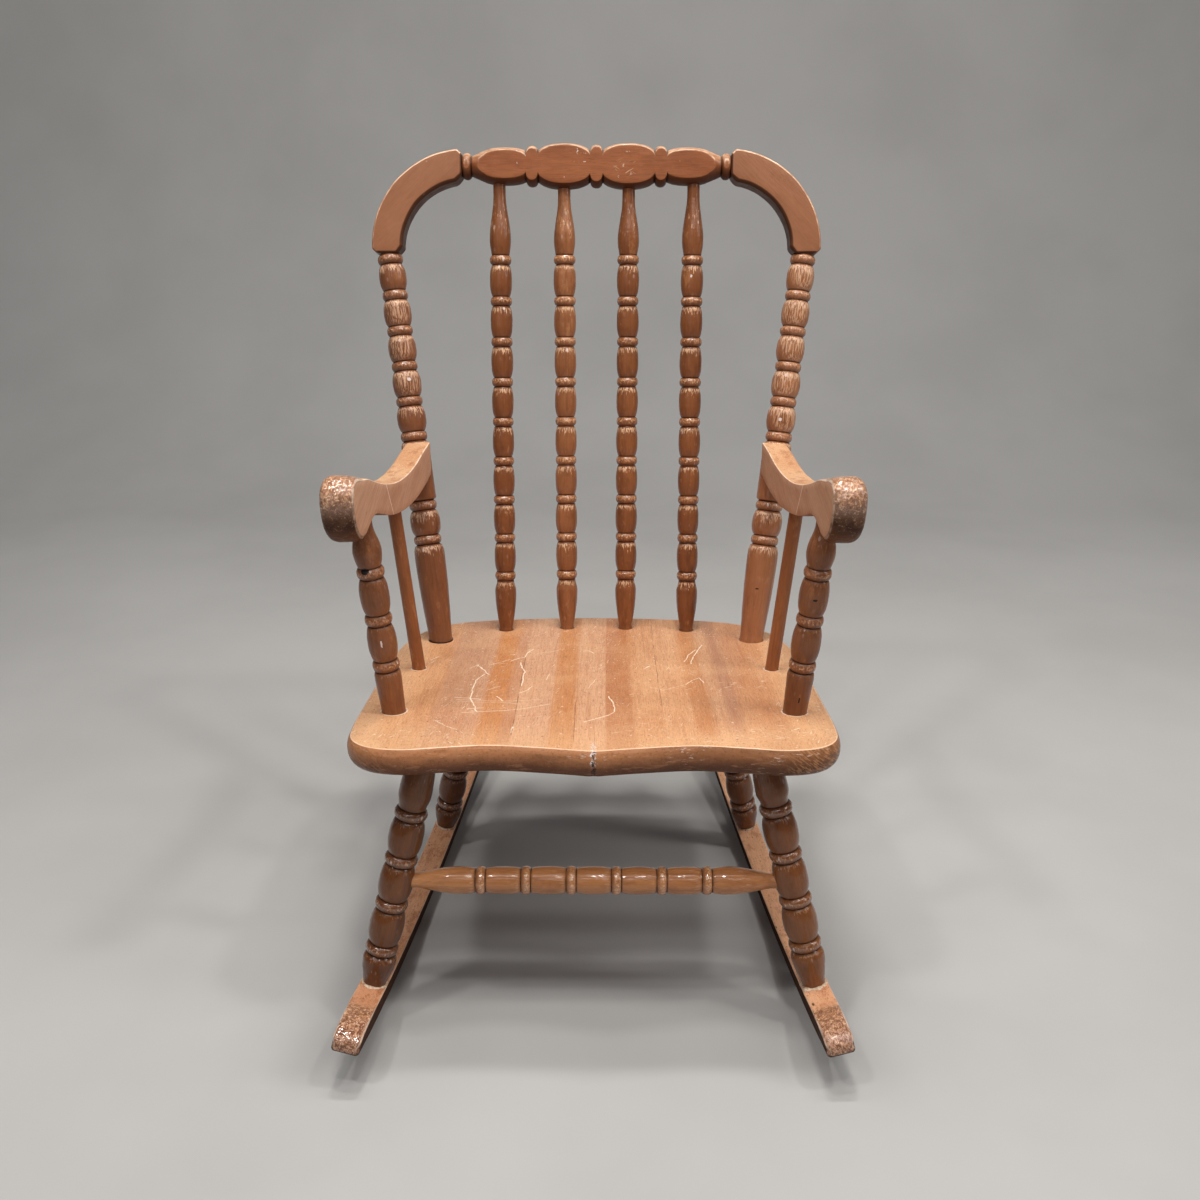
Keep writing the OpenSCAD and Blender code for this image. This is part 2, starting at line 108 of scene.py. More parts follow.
SP_FX, SP_TX, SP_FY, SP_CUT = [97.1, 31.6], [97.9, 32.6], [333.3, 340.9], [457.5, 453.0]
ARM_POST_FOOT, ARM_POST_DIR = A(175.5, 86.4, top_z(86.4)), A(14.1, -5.5, 163.5)
DOWEL_FOOT, DOWEL_DIR = A(171.4, 202.4, top_z(202.4)), A(14.2, -0.8, 152.6)
FRONT_TOP, REAR_TOP = A(144.9, 46.2, under_z(46.2)), A(127.0, 285.0, under_z(285))
R_ROCK, D_ROCK, W_ROCK = 1100.0, 23.5, 24.0
CANT, TOE = math.radians(12.6), math.radians(5.5)
ROCK_P = A(185.6, Y_MID, W_ROCK / 2 * math.sin(CANT) - 1)


def rock_map(lx, u, h):
    """A rocker's own frame to the fit frame."""
    x = lx * math.cos(CANT) - h * math.sin(CANT)
    z = lx * math.sin(CANT) + h * math.cos(CANT)
    return np.stack([ROCK_P[0] + x * math.cos(TOE) - u * math.sin(TOE),
                     ROCK_P[1] + x * math.sin(TOE) + u * math.cos(TOE),
                     ROCK_P[2] + z + 0 * u], -1)


def rock_top(u):
    return rock_map(A(0.0), A(u * 1.0), A(R_ROCK - math.sqrt((R_ROCK - D_ROCK) ** 2 - u * u)))[..., :].reshape(3)


FRONT_FOOT, REAR_FOOT = rock_top(-197.5), rock_top(97.4)
STR_P = FRONT_TOP + (FRONT_FOOT - FRONT_TOP) * 0.54


def vnoise(p, freq, seed=0):
    """Value noise in 0..1 at points p (n,3), freq per unit length, one or three numbers."""
    q = np.asarray(p, float) * np.asarray(freq, float) + 31.7 + seed * 7.13
    i = np.floor(q).astype(np.int64)
    f = q - i
    f = f * f * (3 - 2 * f)

    def h(dx, dy, dz):
        n = ((i[..., 0] + dx) * 73856093) ^ ((i[..., 1] + dy) * 19349663) ^ ((i[..., 2] + dz) * 83492791) ^ (seed * 6971 + 13)
        n = (n ^ (n >> 13)) & 0x7FFFFFFF
        n = (n * 1274126177) & 0x7FFFFFFF
        return ((n ^ (n >> 15)) & 0xFFFF) / 65535.0

    fx, fy, fz = f[..., 0], f[..., 1], f[..., 2]
    a = lerp(lerp(h(0, 0, 0), h(1, 0, 0), fx), lerp(h(0, 1, 0), h(1, 1, 0), fx), fy)
    b = lerp(lerp(h(0, 0, 1), h(1, 0, 1), fx), lerp(h(0, 1, 1), h(1, 1, 1), fx), fy)
    return lerp(a, b, fz)


def catmull(p, n):
    """Curve through the points p, n steps to a span."""
    p = np.array(p, float)
    m, out = len(p), []
    for i in range(m - 1):
        p0, p1, p2, p3 = p[max(i - 1, 0)], p[i], p[i + 1], p[min(i + 2, m - 1)]
        for k in range(n):
            t = k / n
            out.append(0.5 * (2 * p1 + (p2 - p0) * t + (2 * p0 - 5 * p1 + 4 * p2 - p3) * t * t
                              + (3 * p1 - p0 - 3 * p2 + p3) * t ** 3))
    out.append(p[-1])
    return np.array(out)


def resample(p, step, closed=False):
    p = np.array(p, float)
    if closed:
        p = np.vstack([p, p[:1]])
    d = np.r_[0, np.cumsum(np.linalg.norm(np.diff(p, axis=0), axis=1))]
    n = max(int(round(d[-1] / step)), 3)
    t = np.linspace(0, d[-1], n + 1)
    q = np.stack([np.interp(t, d, p[:, k]) for k in range(p.shape[1])], 1)
    return q[:-1] if closed else q


# ------------------------------------------------------------------ mesh code
LEVEL = 1.0


def make(name, verts, faces, grain, mask, left=False, sharp=38, aux=None):
    """A mesh piece from points in the fit frame (right-hand side; mirrored if left)."""
    v = to_m(verts)
    if left:
        v[:, 0] *= -1
    me = bpy.data.meshes.new(name)
    me.from_pydata(v.tolist(), [], faces)
    me.validate()
    bm = bmesh.new()
    bm.from_mesh(me)
    bmesh.ops.holes_fill(bm, edges=[e for e in bm.edges if e.is_boundary], sides=4)
    bmesh.ops.recalc_face_normals(bm, faces=bm.faces)
    bm.to_mesh(me)
    bm.free()
    g = me.attributes.new("grain", "FLOAT_VECTOR", "POINT")
    g.data.foreach_set("vector", (np.asarray(grain, np.float32) * 0.001).ravel())
    m = me.attributes.new("mask", "FLOAT_COLOR", "POINT")
    c = np.ones((len(v), 4), np.float32)
    c[:, :3] = mask
    m.data.foreach_set("color", c.ravel())
    if aux is not None:
        m = me.attributes.new("aux", "FLOAT_COLOR", "POINT")
        c = np.ones((len(v), 4), np.float32)
        c[:, :3] = aux
        m.data.foreach_set("color", c.ravel())
    me.shade_smooth()
    me.set_sharp_from_angle(angle=math.radians(sharp))
    ob = bpy.data.objects.new(name, me)
    bpy.context.scene.collection.objects.link(ob)
    return ob


class Turn:
    """A turning's outline: radius r at the place s along its axis, with the grooves in it."""

    def __init__(self):
        self.s, self.r, self.g, self.crest = [], [], [], []

    def pt(self, *rs):
        for r, s in rs:
            self.s.append(s)
            self.r.append(r)
        return self

    def bead(self, z, r, h, e=2.0, n=14):
        e = e + 0.9
        for i in range(n + 1):
            a = math.radians(-90 + 180 * i / n)
            self.pt((r - e + e * max(math.cos(a), 0), z + h / 2 * math.sin(a)))
        self.g += [z - h / 2 - 0.1, z + h / 2 + 0.1]
        self.crest.append(z)
        return self

    def barrel(self, z0, z1, ra, rm, rb, n=26):
        for i in range(n + 1):
            t = 0.5 - 0.5 * math.cos(math.pi * i / n)
            base = lerp(ra, rb, t)
            self.pt((base + (rm - base) * (1 - abs(2 * t - 1) ** 2.4) ** 0.8, lerp(z0, z1, t)))
        return self

    def vase(self, z0, z1, ra, rm, rb, c, n=40):
        for i in range(n + 1):
            t = i / n
            r = lerp(ra, rm, math.sin(math.pi / 2 * t / c)) if t < c else lerp(
                rb, rm, (1 + math.cos(math.pi * (t - c) / (1 - c))) / 2)
            self.pt((r, lerp(z0, z1, t)))
        return self

    def line(self, z0, r0, z1, r1, n=10, ease=False):
        for i in range(n + 1):
            t = i / n
            k = math.sin(math.pi / 2 * t) if ease else t
            self.pt((lerp(r0, r1, k), lerp(z0, z1, t)))
        return self


def axes(a, b):
    ez = (b - a) / np.linalg.norm(b - a)
    ref = A(1, 0, 0) if abs(ez[0]) < 0.9 else A(0, 0, 1)
    ex = ref - ez * (ref @ ez)
    ex /= np.linalg.norm(ex)
    return ex, np.cross(ez, ex), ez


def lathe(name, T, a, b, seed, seg=64, left=False, up=1, dents=(), rough=0.10, max_step=1.6, wear=1.0,
          reach=7.0, neck=0.30, marks=()):
    s, r = np.array(T.s), np.array(T.r)
    keep = np.r_[True, (np.abs(np.diff(s)) + np.abs(np.diff(r))) > 1e-4]
    s, r = s[keep], r[keep]
    # more rows where they are far apart
    S, Rr = [s[0]], [r[0]]
    for i in range(1, len(s)):
        k = max(1, int(math.ceil(abs(s[i] - s[i - 1]) / max_step)))
        for j in range(1, k + 1):
            S.append(lerp(s[i - 1], s[i], j / k))
            Rr.append(lerp(r[i - 1], r[i], j / k))
    s, r = np.array(S), np.array(Rr)
    g = np.array(sorted(T.g)) if T.g else A(-1e3)
    near = np.abs(s[:, None] - g[None]).min(1)
    above = (g[None] - s[:, None]) * up
    above = np.where(above > -0.05, above, 1e3).min(1)
    crest = np.array(T.crest) if T.crest else A(-1e3)
    # the crest mask sits a little above each crest, on the side the light falls on: what it drives is partly a painted
    # highlight
    cr = np.exp(-(np.abs(s[:, None] - crest[None] - 0.9 * up).min(1) / 2.3) ** 2)
    # under: just below each bead, painted darker as shade
    under = np.exp(-(np.abs(s[:, None] - crest[None] + 3.4 * up).min(1) / 1.3) ** 2)
    face = np.clip(-np.gradient(r, s + 1e-7 * np.arange(len(s))) * up, 0, 1)
    face = np.convolve(np.pad(face, 3, "edge"), np.ones(7) / 7, "valid")
    groove = np.maximum(np.exp(-(near / 0.75) ** 2), 0.45 * under)
    on_bead = sm(np.abs(s[:, None] - crest[None]).min(1), 5.4, 4.6)
    # cone: up-facing tapers; like the shoulders below each groove they get pale streaks, partly a painted highlight
    cone = np.convolve(np.pad((above > 200) * sm(face, 0.0, 0.09), 7, "edge"), np.hanning(17)[1:-1] / np.hanning(17).sum(), "valid")
    streak = np.exp(-(above / reach) ** 1.5) * sm(above, 0.3, 2.8) + neck * cone
    streak = np.clip(streak, 0, 1) * (1 - 0.80 * on_bead)
    n = len(s)
    th = np.linspace(0, 2 * math.pi, seg, endpoint=False)
    R = np.repeat(r[:, None], seg, 1)
    unit = np.stack([R * np.cos(th), R * np.sin(th), np.repeat(s[:, None], seg, 1)], -1)
    live = sm(s, s[0] + 1, s[0] + 6)[:, None] * sm(s, s[-1] - 1, s[-1] - 6)[:, None]
    # out of round, tool marks, and the dents of years of use on the crests
    R = R + live * ((vnoise(unit, (0.05, 0.05, 0.012), seed) - 0.5) * 0.5
                    + (vnoise(unit, (0.4, 0.4, 0.14), seed + 1) - 0.5) * rough * 2.2
                    + (vnoise(unit, (0.02, 0.02, 0.9), seed + 2) - 0.5) * 0.12)
    nick = np.clip(vnoise(unit, (0.33, 0.33, 0.33), seed + 3) - 0.72, 0, 1)
    R = R - live * nick * (0.5 + 2.2 * cr[:, None]) * wear
    for ds, phi, depth, ls, lp in dents:
        dphi = (th[None] - math.radians(phi) + math.pi) % (2 * math.pi) - math.pi
        R = R - depth * np.exp(-((s[:, None] - ds) / ls) ** 2 - (dphi * r[:, None] / lp) ** 2)
    P = np.stack([R * np.cos(th), R * np.sin(th), np.repeat(s[:, None], seg, 1)], -1).reshape(-1, 3)
    P = np.vstack([P, [[0, 0, s[0]], [0, 0, s[-1]]]])
    ex, ey, ez = axes(a, b)
    W = a + P[:, :1] * ex + P[:, 1:2] * ey + P[:, 2:] * ez
    faces = []
    for i in range(n - 1):
        q = i * seg
        for j in range(seg):
            k = (j + 1) % seg
            faces.append((q + j, q + k, q + seg + k, q + seg + j))
    c0, c1 = n * seg, n * seg + 1
    for j in range(seg):
        k = (j + 1) % seg
        faces.append((c0, k, j))
        faces.append((c1, (n - 1) * seg + j, (n - 1) * seg + k))
    M = np.stack([np.repeat(v, seg) for v in (cr, groove, streak)], 1)
    M = np.vstack([M, M[:1], M[-1:]])
    rng = np.random.default_rng(seed)
    G = P + rng.uniform(-400, 400, 3)
    X = np.zeros((n, seg, 3))
    for ms, phi, ls, lp, kind in marks:
        dphi = (th[None] - math.radians(phi) + math.pi) % (2 * math.pi) - math.pi
        d = np.sqrt(((s[:, None] - ms) / ls) ** 2 + (dphi * r[:, None] / lp) ** 2)
        X[..., kind] = np.maximum(X[..., kind], sm(d, 1.25, 0.6))
    X = X.reshape(-1, 3)
    return make(name, W, faces, G, M, left, aux=np.vstack([X, X[:1], X[-1:]]) if len(marks) else None)


def cap_mesh(Q, spacing):
    """Fills the outline Q with small triangles: (inner points, triangles), where an index below
    len(Q) is a point of the outline."""
    n = len(Q)
    lo, hi = Q.min(0), Q.max(0)
    gx, gy = np.arange(lo[0], hi[0], spacing), np.arange(lo[1], hi[1], spacing * 0.866)
    pts = np.array([(x + (spacing / 2 if j % 2 else 0), y) for j, y in enumerate(gy) for x in gx])
    inside = np.zeros(len(pts), bool)
    a, b = Q, np.roll(Q, -1, 0)
    near = np.full(len(pts), 1e9)
    for (x0, y0), (x1, y1) in zip(a, b):
        cond = (pts[:, 1] >= y0) != (pts[:, 1] >= y1)
        if y0 != y1:
            xi = x0 + (pts[:, 1] - y0) * (x1 - x0) / (y1 - y0)
            inside ^= cond & (pts[:, 0] < xi)
        near = np.minimum(near, np.hypot(pts[:, 0] - x0, pts[:, 1] - y0))
    pts = pts[inside & (near > spacing * 0.55)]
    from mathutils.geometry import delaunay_2d_cdt
    from mathutils import Vector
    vin = [Vector(q) for q in np.vstack([Q, pts])]
    vo, _, fo, ov, _, _ = delaunay_2d_cdt(vin, [(i, (i + 1) % n) for i in range(n)], [], 1, 1e-6)
    allp = np.vstack([Q, pts])
    back = [o[0] if o else int(np.argmin(np.hypot(*(allp - np.array(v)).T))) for o, v in zip(ov, vo)]
    tris = [tuple(back[k] for k in f) for f in fo]
    return pts, [f for f in tris if len(set(f)) == 3]


def slab(name, P, rows, fn, grain, mask, left=False, sharp=38, aux=None, spacing=5.0, capw=(None, None)):
    """A closed outline P (n,2) in a plane, given thickness by rows of (place across, inset);
    fn maps (p0, p1, across) to the fit frame; grain and mask are functions of the same and
    of the row and the outline's normal."""
    P = np.array(P, float)
    area = 0.5 * np.sum(P[:, 0] * np.roll(P[:, 1], -1) - np.roll(P[:, 0], -1) * P[:, 1])
    if area < 0:
        P = P[::-1].copy()
        rows = [tuple(x[::-1] if isinstance(x, np.ndarray) else x for x in r) for r in rows]
    T = np.roll(P, -1, 0) - np.roll(P, 1, 0)
    T /= np.linalg.norm(T, axis=1)[:, None]
    N = np.stack([-T[:, 1], T[:, 0]], 1)
    n = len(P)
    V, G, M, X, ends = [], [], [], [], {}
    for k, (w, d) in enumerate(rows):
        w, d = np.broadcast_to(w, n).astype(float), np.broadcast_to(d, n).astype(float)
        Q = P + N * d[:, None]
        if k in (0, len(rows) - 1):
            ends[k] = (Q, float(w.mean()))
        V.append(fn(Q[:, 0], Q[:, 1], w))
        G.append(grain(Q[:, 0], Q[:, 1], w))
        M.append(mask(Q[:, 0], Q[:, 1], w, k, -N))
        if aux is not None:
            X.append(aux(Q[:, 0], Q[:, 1], w, k, -N))
    faces = []
    for r in range(len(rows) - 1):
        for i in range(n):
            j = (i + 1) % n
            faces.append((r * n + i, r * n + j, (r + 1) * n + j, (r + 1) * n + i))
    total = len(rows) * n
    for which, k in enumerate((0, len(rows) - 1)):
        Q, w0 = ends[k]
        pts, tris = cap_mesh(Q, spacing)
        wf = capw[which] or (lambda a, b: np.full(len(a), w0))
        wq = wf(pts[:, 0], pts[:, 1])
        V.append(fn(pts[:, 0], pts[:, 1], wq))
        G.append(grain(pts[:, 0], pts[:, 1], wq))
        flat_n = np.zeros((len(pts), 2))
        M.append(mask(pts[:, 0], pts[:, 1], wq, k, flat_n))
        if aux is not None:
            X.append(aux(pts[:, 0], pts[:, 1], wq, k, flat_n))
        for f in tris:
            faces.append(tuple(k * n + i if i < n else total + i - n for i in f))
        total += len(pts)
    V, G, M = np.vstack(V), np.vstack(G), np.vstack(M)
    return make(name, V, faces, G, M, left, sharp, np.vstack(X) if X else None)


def soften(P, corners, closed=True):
    """Rounds the polygon P at its corners: {index: radius along the sides}."""
    P = np.array(P, float)
    out = []
    for i in range(len(P)):
        if i not in corners:
            out.append(P[i])
            continue
        r = corners[i]
        a, b = P[i - 1], P[(i + 1) % len(P)]
        pa = P[i] + (a - P[i]) / np.linalg.norm(a - P[i]) * r
        pb = P[i] + (b - P[i]) / np.linalg.norm(b - P[i]) * r
        for t in np.linspace(0, 1, 9):
            out.append((1 - t) ** 2 * pa + 2 * t * (1 - t) * P[i] + t * t * pb)
    return np.array(out)


def crest_map(x, yv, v):
    return np.stack([x + 0 * v, CREST_Y + yv * math.cos(RAKE) + v * math.sin(RAKE),
                     CREST_Z - yv * math.sin(RAKE) + v * math.cos(RAKE)], -1)


def seat_map(x, y, z):
    return np.stack([x + 0 * y, y * math.cos(TILT) + z * math.sin(TILT),
                     SEAT_H - y * math.sin(TILT) + z * math.cos(TILT)], -1)


# ------------------------------------------------------------------ materials
class Tree:
    def __init__(self, name):
        self.mat = bpy.data.materials.new(name)
        self.mat.use_nodes = True
        self.t = self.mat.node_tree
        self.t.nodes.clear()
        self.out = self.t.nodes.new("ShaderNodeOutputMaterial")
        self.b = self.t.nodes.new("ShaderNodeBsdfPrincipled")
        self.t.links.new(self.b.outputs[0], self.out.inputs[0])

    def put(self, sock, v):
        if isinstance(v, bpy.types.NodeSocket):
            self.t.links.new(v, sock)
        elif v is not None:
            sock.default_value = v

    def attr(self, name):
        n = self.t.nodes.new("ShaderNodeAttribute")
        n.attribute_type = "GEOMETRY"
        n.attribute_name = name
        return n

    def split(self, colour):
        n = self.t.nodes.new("ShaderNodeSeparateColor")
        self.put(n.inputs[0], colour)
        return n.outputs[0], n.outputs[1], n.outputs[2]

    def xyz(self, v):
        n = self.t.nodes.new("ShaderNodeSeparateXYZ")
        self.put(n.inputs[0], v)
        return n.outputs[0], n.outputs[1], n.outputs[2]

    def vec(self, v, scale=(1, 1, 1), loc=(0, 0, 0), rot=(0, 0, 0)):
        n = self.t.nodes.new("ShaderNodeMapping")
        self.put(n.inputs["Vector"], v)
        n.inputs["Scale"].default_value = scale
        n.inputs["Location"].default_value = loc
        n.inputs["Rotation"].default_value = rot
        return n.outputs[0]

    def noise(self, v, scale=1.0, detail=2.0, rough=0.5, dist=0.0):
        n = self.t.nodes.new("ShaderNodeTexNoise")
        self.put(n.inputs["Vector"], v)
        n.inputs["Scale"].default_value = scale
        n.inputs["Detail"].default_value = detail
        n.inputs["Roughness"].default_value = rough
        n.inputs["Distortion"].default_value = dist
        return n.outputs[0]

    def voro(self, v, scale=1.0, feature="F1", rand=1.0):
        n = self.t.nodes.new("ShaderNodeTexVoronoi")
        n.feature = feature
        self.put(n.inputs["Vector"], v)
        n.inputs["Scale"].default_value = scale
        n.inputs["Randomness"].default_value = rand
        return n.outputs["Distance"], (n.outputs["Color"] if feature == "F1" else None)

    def m(self, op, a, b=None, c=None, clamp=False):
        n = self.t.nodes.new("ShaderNodeMath")
        n.operation = op
        n.use_clamp = clamp
        for k, v in enumerate((a, b, c)):
            if v is not None:
                self.put(n.inputs[k], v)
        return n.outputs[0]

    def mul(self, a, b, clamp=False):
        return self.m("MULTIPLY", a, b, clamp=clamp)

    def add(self, a, b, clamp=False):
        return self.m("ADD", a, b, clamp=clamp)

    def step(self, x, lo, hi, a=0.0, b=1.0):
        n = self.t.nodes.new("ShaderNodeMapRange")
        n.interpolation_type = "SMOOTHSTEP"
        self.put(n.inputs[0], x)
        flip = lo > hi
        n.inputs[1].default_value, n.inputs[2].default_value = (hi, lo) if flip else (lo, hi)
        n.inputs[3].default_value, n.inputs[4].default_value = (b, a) if flip else (a, b)
        return n.outputs[0]

    def mix(self, f, a, b, mode="MIX"):
        n = self.t.nodes.new("ShaderNodeMix")
        n.data_type = "RGBA"
        n.blend_type = mode
        self.put(n.inputs[0], f)
        self.put(n.inputs[6], a)
        self.put(n.inputs[7], b)
        return n.outputs[2]

    def grey(self, x):
        n = self.t.nodes.new("ShaderNodeCombineColor")
        for k in range(3):
            self.put(n.inputs[k], x)
        return n.outputs[0]

    def bump(self, h, strength, dist, normal=None, invert=False):
        n = self.t.nodes.new("ShaderNodeBump")
        n.invert = invert
        self.put(n.inputs["Height"], h)
        self.put(n.inputs["Strength"], strength)
        n.inputs["Distance"].default_value = dist
        if normal is not None:
            self.put(n.inputs["Normal"], normal)
        return n.outputs[0]

    def max(self, *xs):
        r = xs[0]
        for x in xs[1:]:
            r = self.m("MAXIMUM", r, x)
        return r


def srgb(r, g, b):
    def f(c):
        c /= 255
        return c / 12.92 if c <= 0.04045 else ((c + 0.055) / 1.055) ** 2.4
    return (f(r), f(g), f(b), 1.0)


def turned_mat(name, base, light, dark, pale, gold, coat=0.35, rough=0.42, streak=1.0, shine=0.0, chips=1.0, relief=1.0):
    """Stained, lacquered turned wood, worn at the crests and rough where the shape cuts the grain.
    mask: R bead crests, set a little above each crest (their gold partly a painted highlight), G grooves (dirt, and
    painted shade just below each bead), B shoulders where the fibres are cut across (pale streaks, partly a painted
    highlight).
    aux: R dark knots, G bare chips, B pale rubs."""
    T = Tree(name)
    g = T.attr("grain").outputs["Vector"]
    R, G, B = T.split(T.attr("mask").outputs["Color"])
    K, C, W = T.split(T.attr("aux").outputs["Color"])
    broad = T.noise(T.vec(g, (22, 22, 5)), detail=2)
    rings = T.noise(T.vec(g, (150, 150, 7)), detail=3, rough=0.6, dist=0.6)
    fibre = T.noise(T.vec(g, (900, 900, 26)), detail=3, rough=0.65)
    pores = T.noise(T.vec(g, (1500, 1500, 90)), detail=1)
    mott = T.noise(T.vec(g, (110, 110, 45)), detail=4, rough=0.65)
    col = T.mix(T.step(broad, 0.36, 0.66), base, light)
    col = T.mix(T.mul(T.step(rings, 0.48, 0.72), 0.40), col, dark)
    col = T.mix(T.mul(T.step(mott, 0.50, 0.70), 0.40), col, dark)
    col = T.mix(T.mul(T.step(mott, 0.42, 0.30), 0.30), col, gold)
    col = T.mix(0.7, col, T.grey(T.step(fibre, 0.28, 0.72, 0.86, 1.10)), "MULTIPLY")
    col = T.mix(T.mul(T.step(pores, 0.66, 0.74), 0.30), col, dark)
    # pale short streaks along the grain on the up-facing shoulders: worn thin lacquer, and partly a painted highlight
    st = T.noise(T.vec(g, (800, 800, 80)), detail=3, rough=0.6)
    st2 = T.noise(T.vec(g, (130, 130, 60)), detail=2)
    far = T.add(T.mul(st, 0.95), T.mul(B, 0.36))
    sk = T.mul(T.mul(T.step(far, 0.66, 0.76), T.step(st2, 0.30, 0.55, 0.25, 1.0)), streak, clamp=True)
    sk = T.mul(sk, T.step(B, 0.04, 0.2))
    sk2 = T.mul(T.step(st, 0.44, 0.34), T.mul(B, 0.75 * min(1.0, streak)))
    col = T.mix(sk2, col, dark)
    col = T.mix(T.mul(sk, 0.80), col, pale)
    # crests rubbed to a warm gold, with small scars; partly a painted highlight, as the mask sits on each crest's upper
    # side
    sp = T.noise(T.vec(g, (540, 540, 420)), detail=3, rough=0.65)
    rub = T.mul(R, T.step(sp, 0.42, 0.56))
    col = T.mix(T.mul(rub, 0.75), col, gold)
    col = T.mix(T.mul(T.mul(R, T.step(sp, 0.56, 0.64)), 0.75), col, pale)
    scar = T.noise(T.vec(g, (620, 620, 420)), detail=3, rough=0.7)
    scars = T.mul(T.step(scar, 0.60, 0.66), T.add(T.mul(R, 0.75), T.mul(B, 0.30)))
    col = T.mix(T.mul(scars, 0.60), col, dark)
    vd, vc = T.voro(T.vec(g, (230, 230, 110)), 1.0)
    pick = T.step(T.split(vc)[0], 0.86, 0.88)
    chip = T.mul(T.mul(T.step(vd, 0.30, 0.20), pick), T.add(T.mul(T.m("MAXIMUM", R, B), 0.9 * chips), 0.04 * chips, clamp=True))
    rag = T.step(T.add(T.mul(sp, 0.9), T.mul(C, 0.8)), 0.78, 0.9)
    chip = T.m("MAXIMUM", chip, rag)
    fine = T.noise(T.vec(g, (950, 950, 70)), detail=3, rough=0.65)
    wr = T.mul(W, T.step(fine, 0.47, 0.57))
    col = T.mix(T.mul(T.mul(W, T.step(fine, 0.44, 0.34)), 0.7), col, dark)
    col = T.mix(T.mul(wr, 0.58), col, pale)
    col = T.mix(T.mul(chip, 0.9), col, srgb(232, 214, 206))
    # dirt in the grooves, and painted shade just below each bead
    groove_dirt_and_shade = T.mul(G, T.step(T.noise(T.vec(g, (180, 180, 260)), detail=2), 0.25, 0.6, 0.55, 1.0))
    col = T.mix(T.mul(groove_dirt_and_shade, 0.8), col, srgb(50, 28, 18))
    knot = T.step(T.add(T.mul(scar, 0.5), K), 0.62, 0.8)
    col = T.mix(knot, col, srgb(34, 20, 15))
    T.put(T.b.inputs["Base Color"], col)
    rg = T.add(T.step(T.noise(T.vec(g, (260, 260, 60)), detail=3), 0.3, 0.7, rough - 0.09, rough + 0.12), T.mul(groove_dirt_and_shade, 0.25))
    rg = T.m("SUBTRACT", rg, T.mul(sk, 0.10))
    T.put(T.b.inputs["Roughness"], T.add(rg, T.mul(chip, 0.2), clamp=True))
    T.b.inputs["Coat Weight"].default_value = coat
    T.b.inputs["Coat Roughness"].default_value = 0.13 - 0.05 * shine
    T.put(T.b.inputs["Coat IOR"], T.m("MULTIPLY_ADD", R, 0.40 + 0.20 * shine, 1.42))
    T.b.inputs["Specular IOR Level"].default_value = 0.12
    n1 = T.bump(T.add(T.mul(fibre, 0.35), T.mul(pores, -0.15)), 0.22, 0.0005)
    n2 = T.bump(T.mul(st, B), 0.8 * min(1.0, streak), 0.0012, n1)
    n3 = T.bump(T.mul(sp, T.add(T.mul(R, 0.9 * relief), T.add(T.mul(B, 0.5), 0.10 * relief))), 0.50, 0.0011, n2)
    n3 = T.bump(mott, 0.22, 0.002, n3)
    n4 = T.bump(T.add(chip, T.mul(scars, 0.4)), 0.5, 0.0006, n3, invert=True)
    T.put(T.b.inputs["Normal"], n4)
    T.put(T.b.inputs["Coat Normal"], n3)
    return T.mat


# small marks on the rail's front: x, v from its centre in mm, half sizes, and how strong
NICKS = [(-79, 1, 0.8, 2.0, 1.0), (-12, 2, 2.2, 0.9, 1.0), (-32, -13, 0.7, 1.6, 0.8), (-19, 12, 0.9, 4.5, 0.9),
         (-12, 10.5, 5.0, 0.9, 0.8), (22, -12, 1.0, 2.0, 0.8), (34, -9, 0.8, 2.4, 0.7), (31, 12, 3.5, 0.9, 0.7),
         (-22, 3, 0.7, 1.5, 0.7), (27, -1.5, 1.2, 3.0, 0.6)]


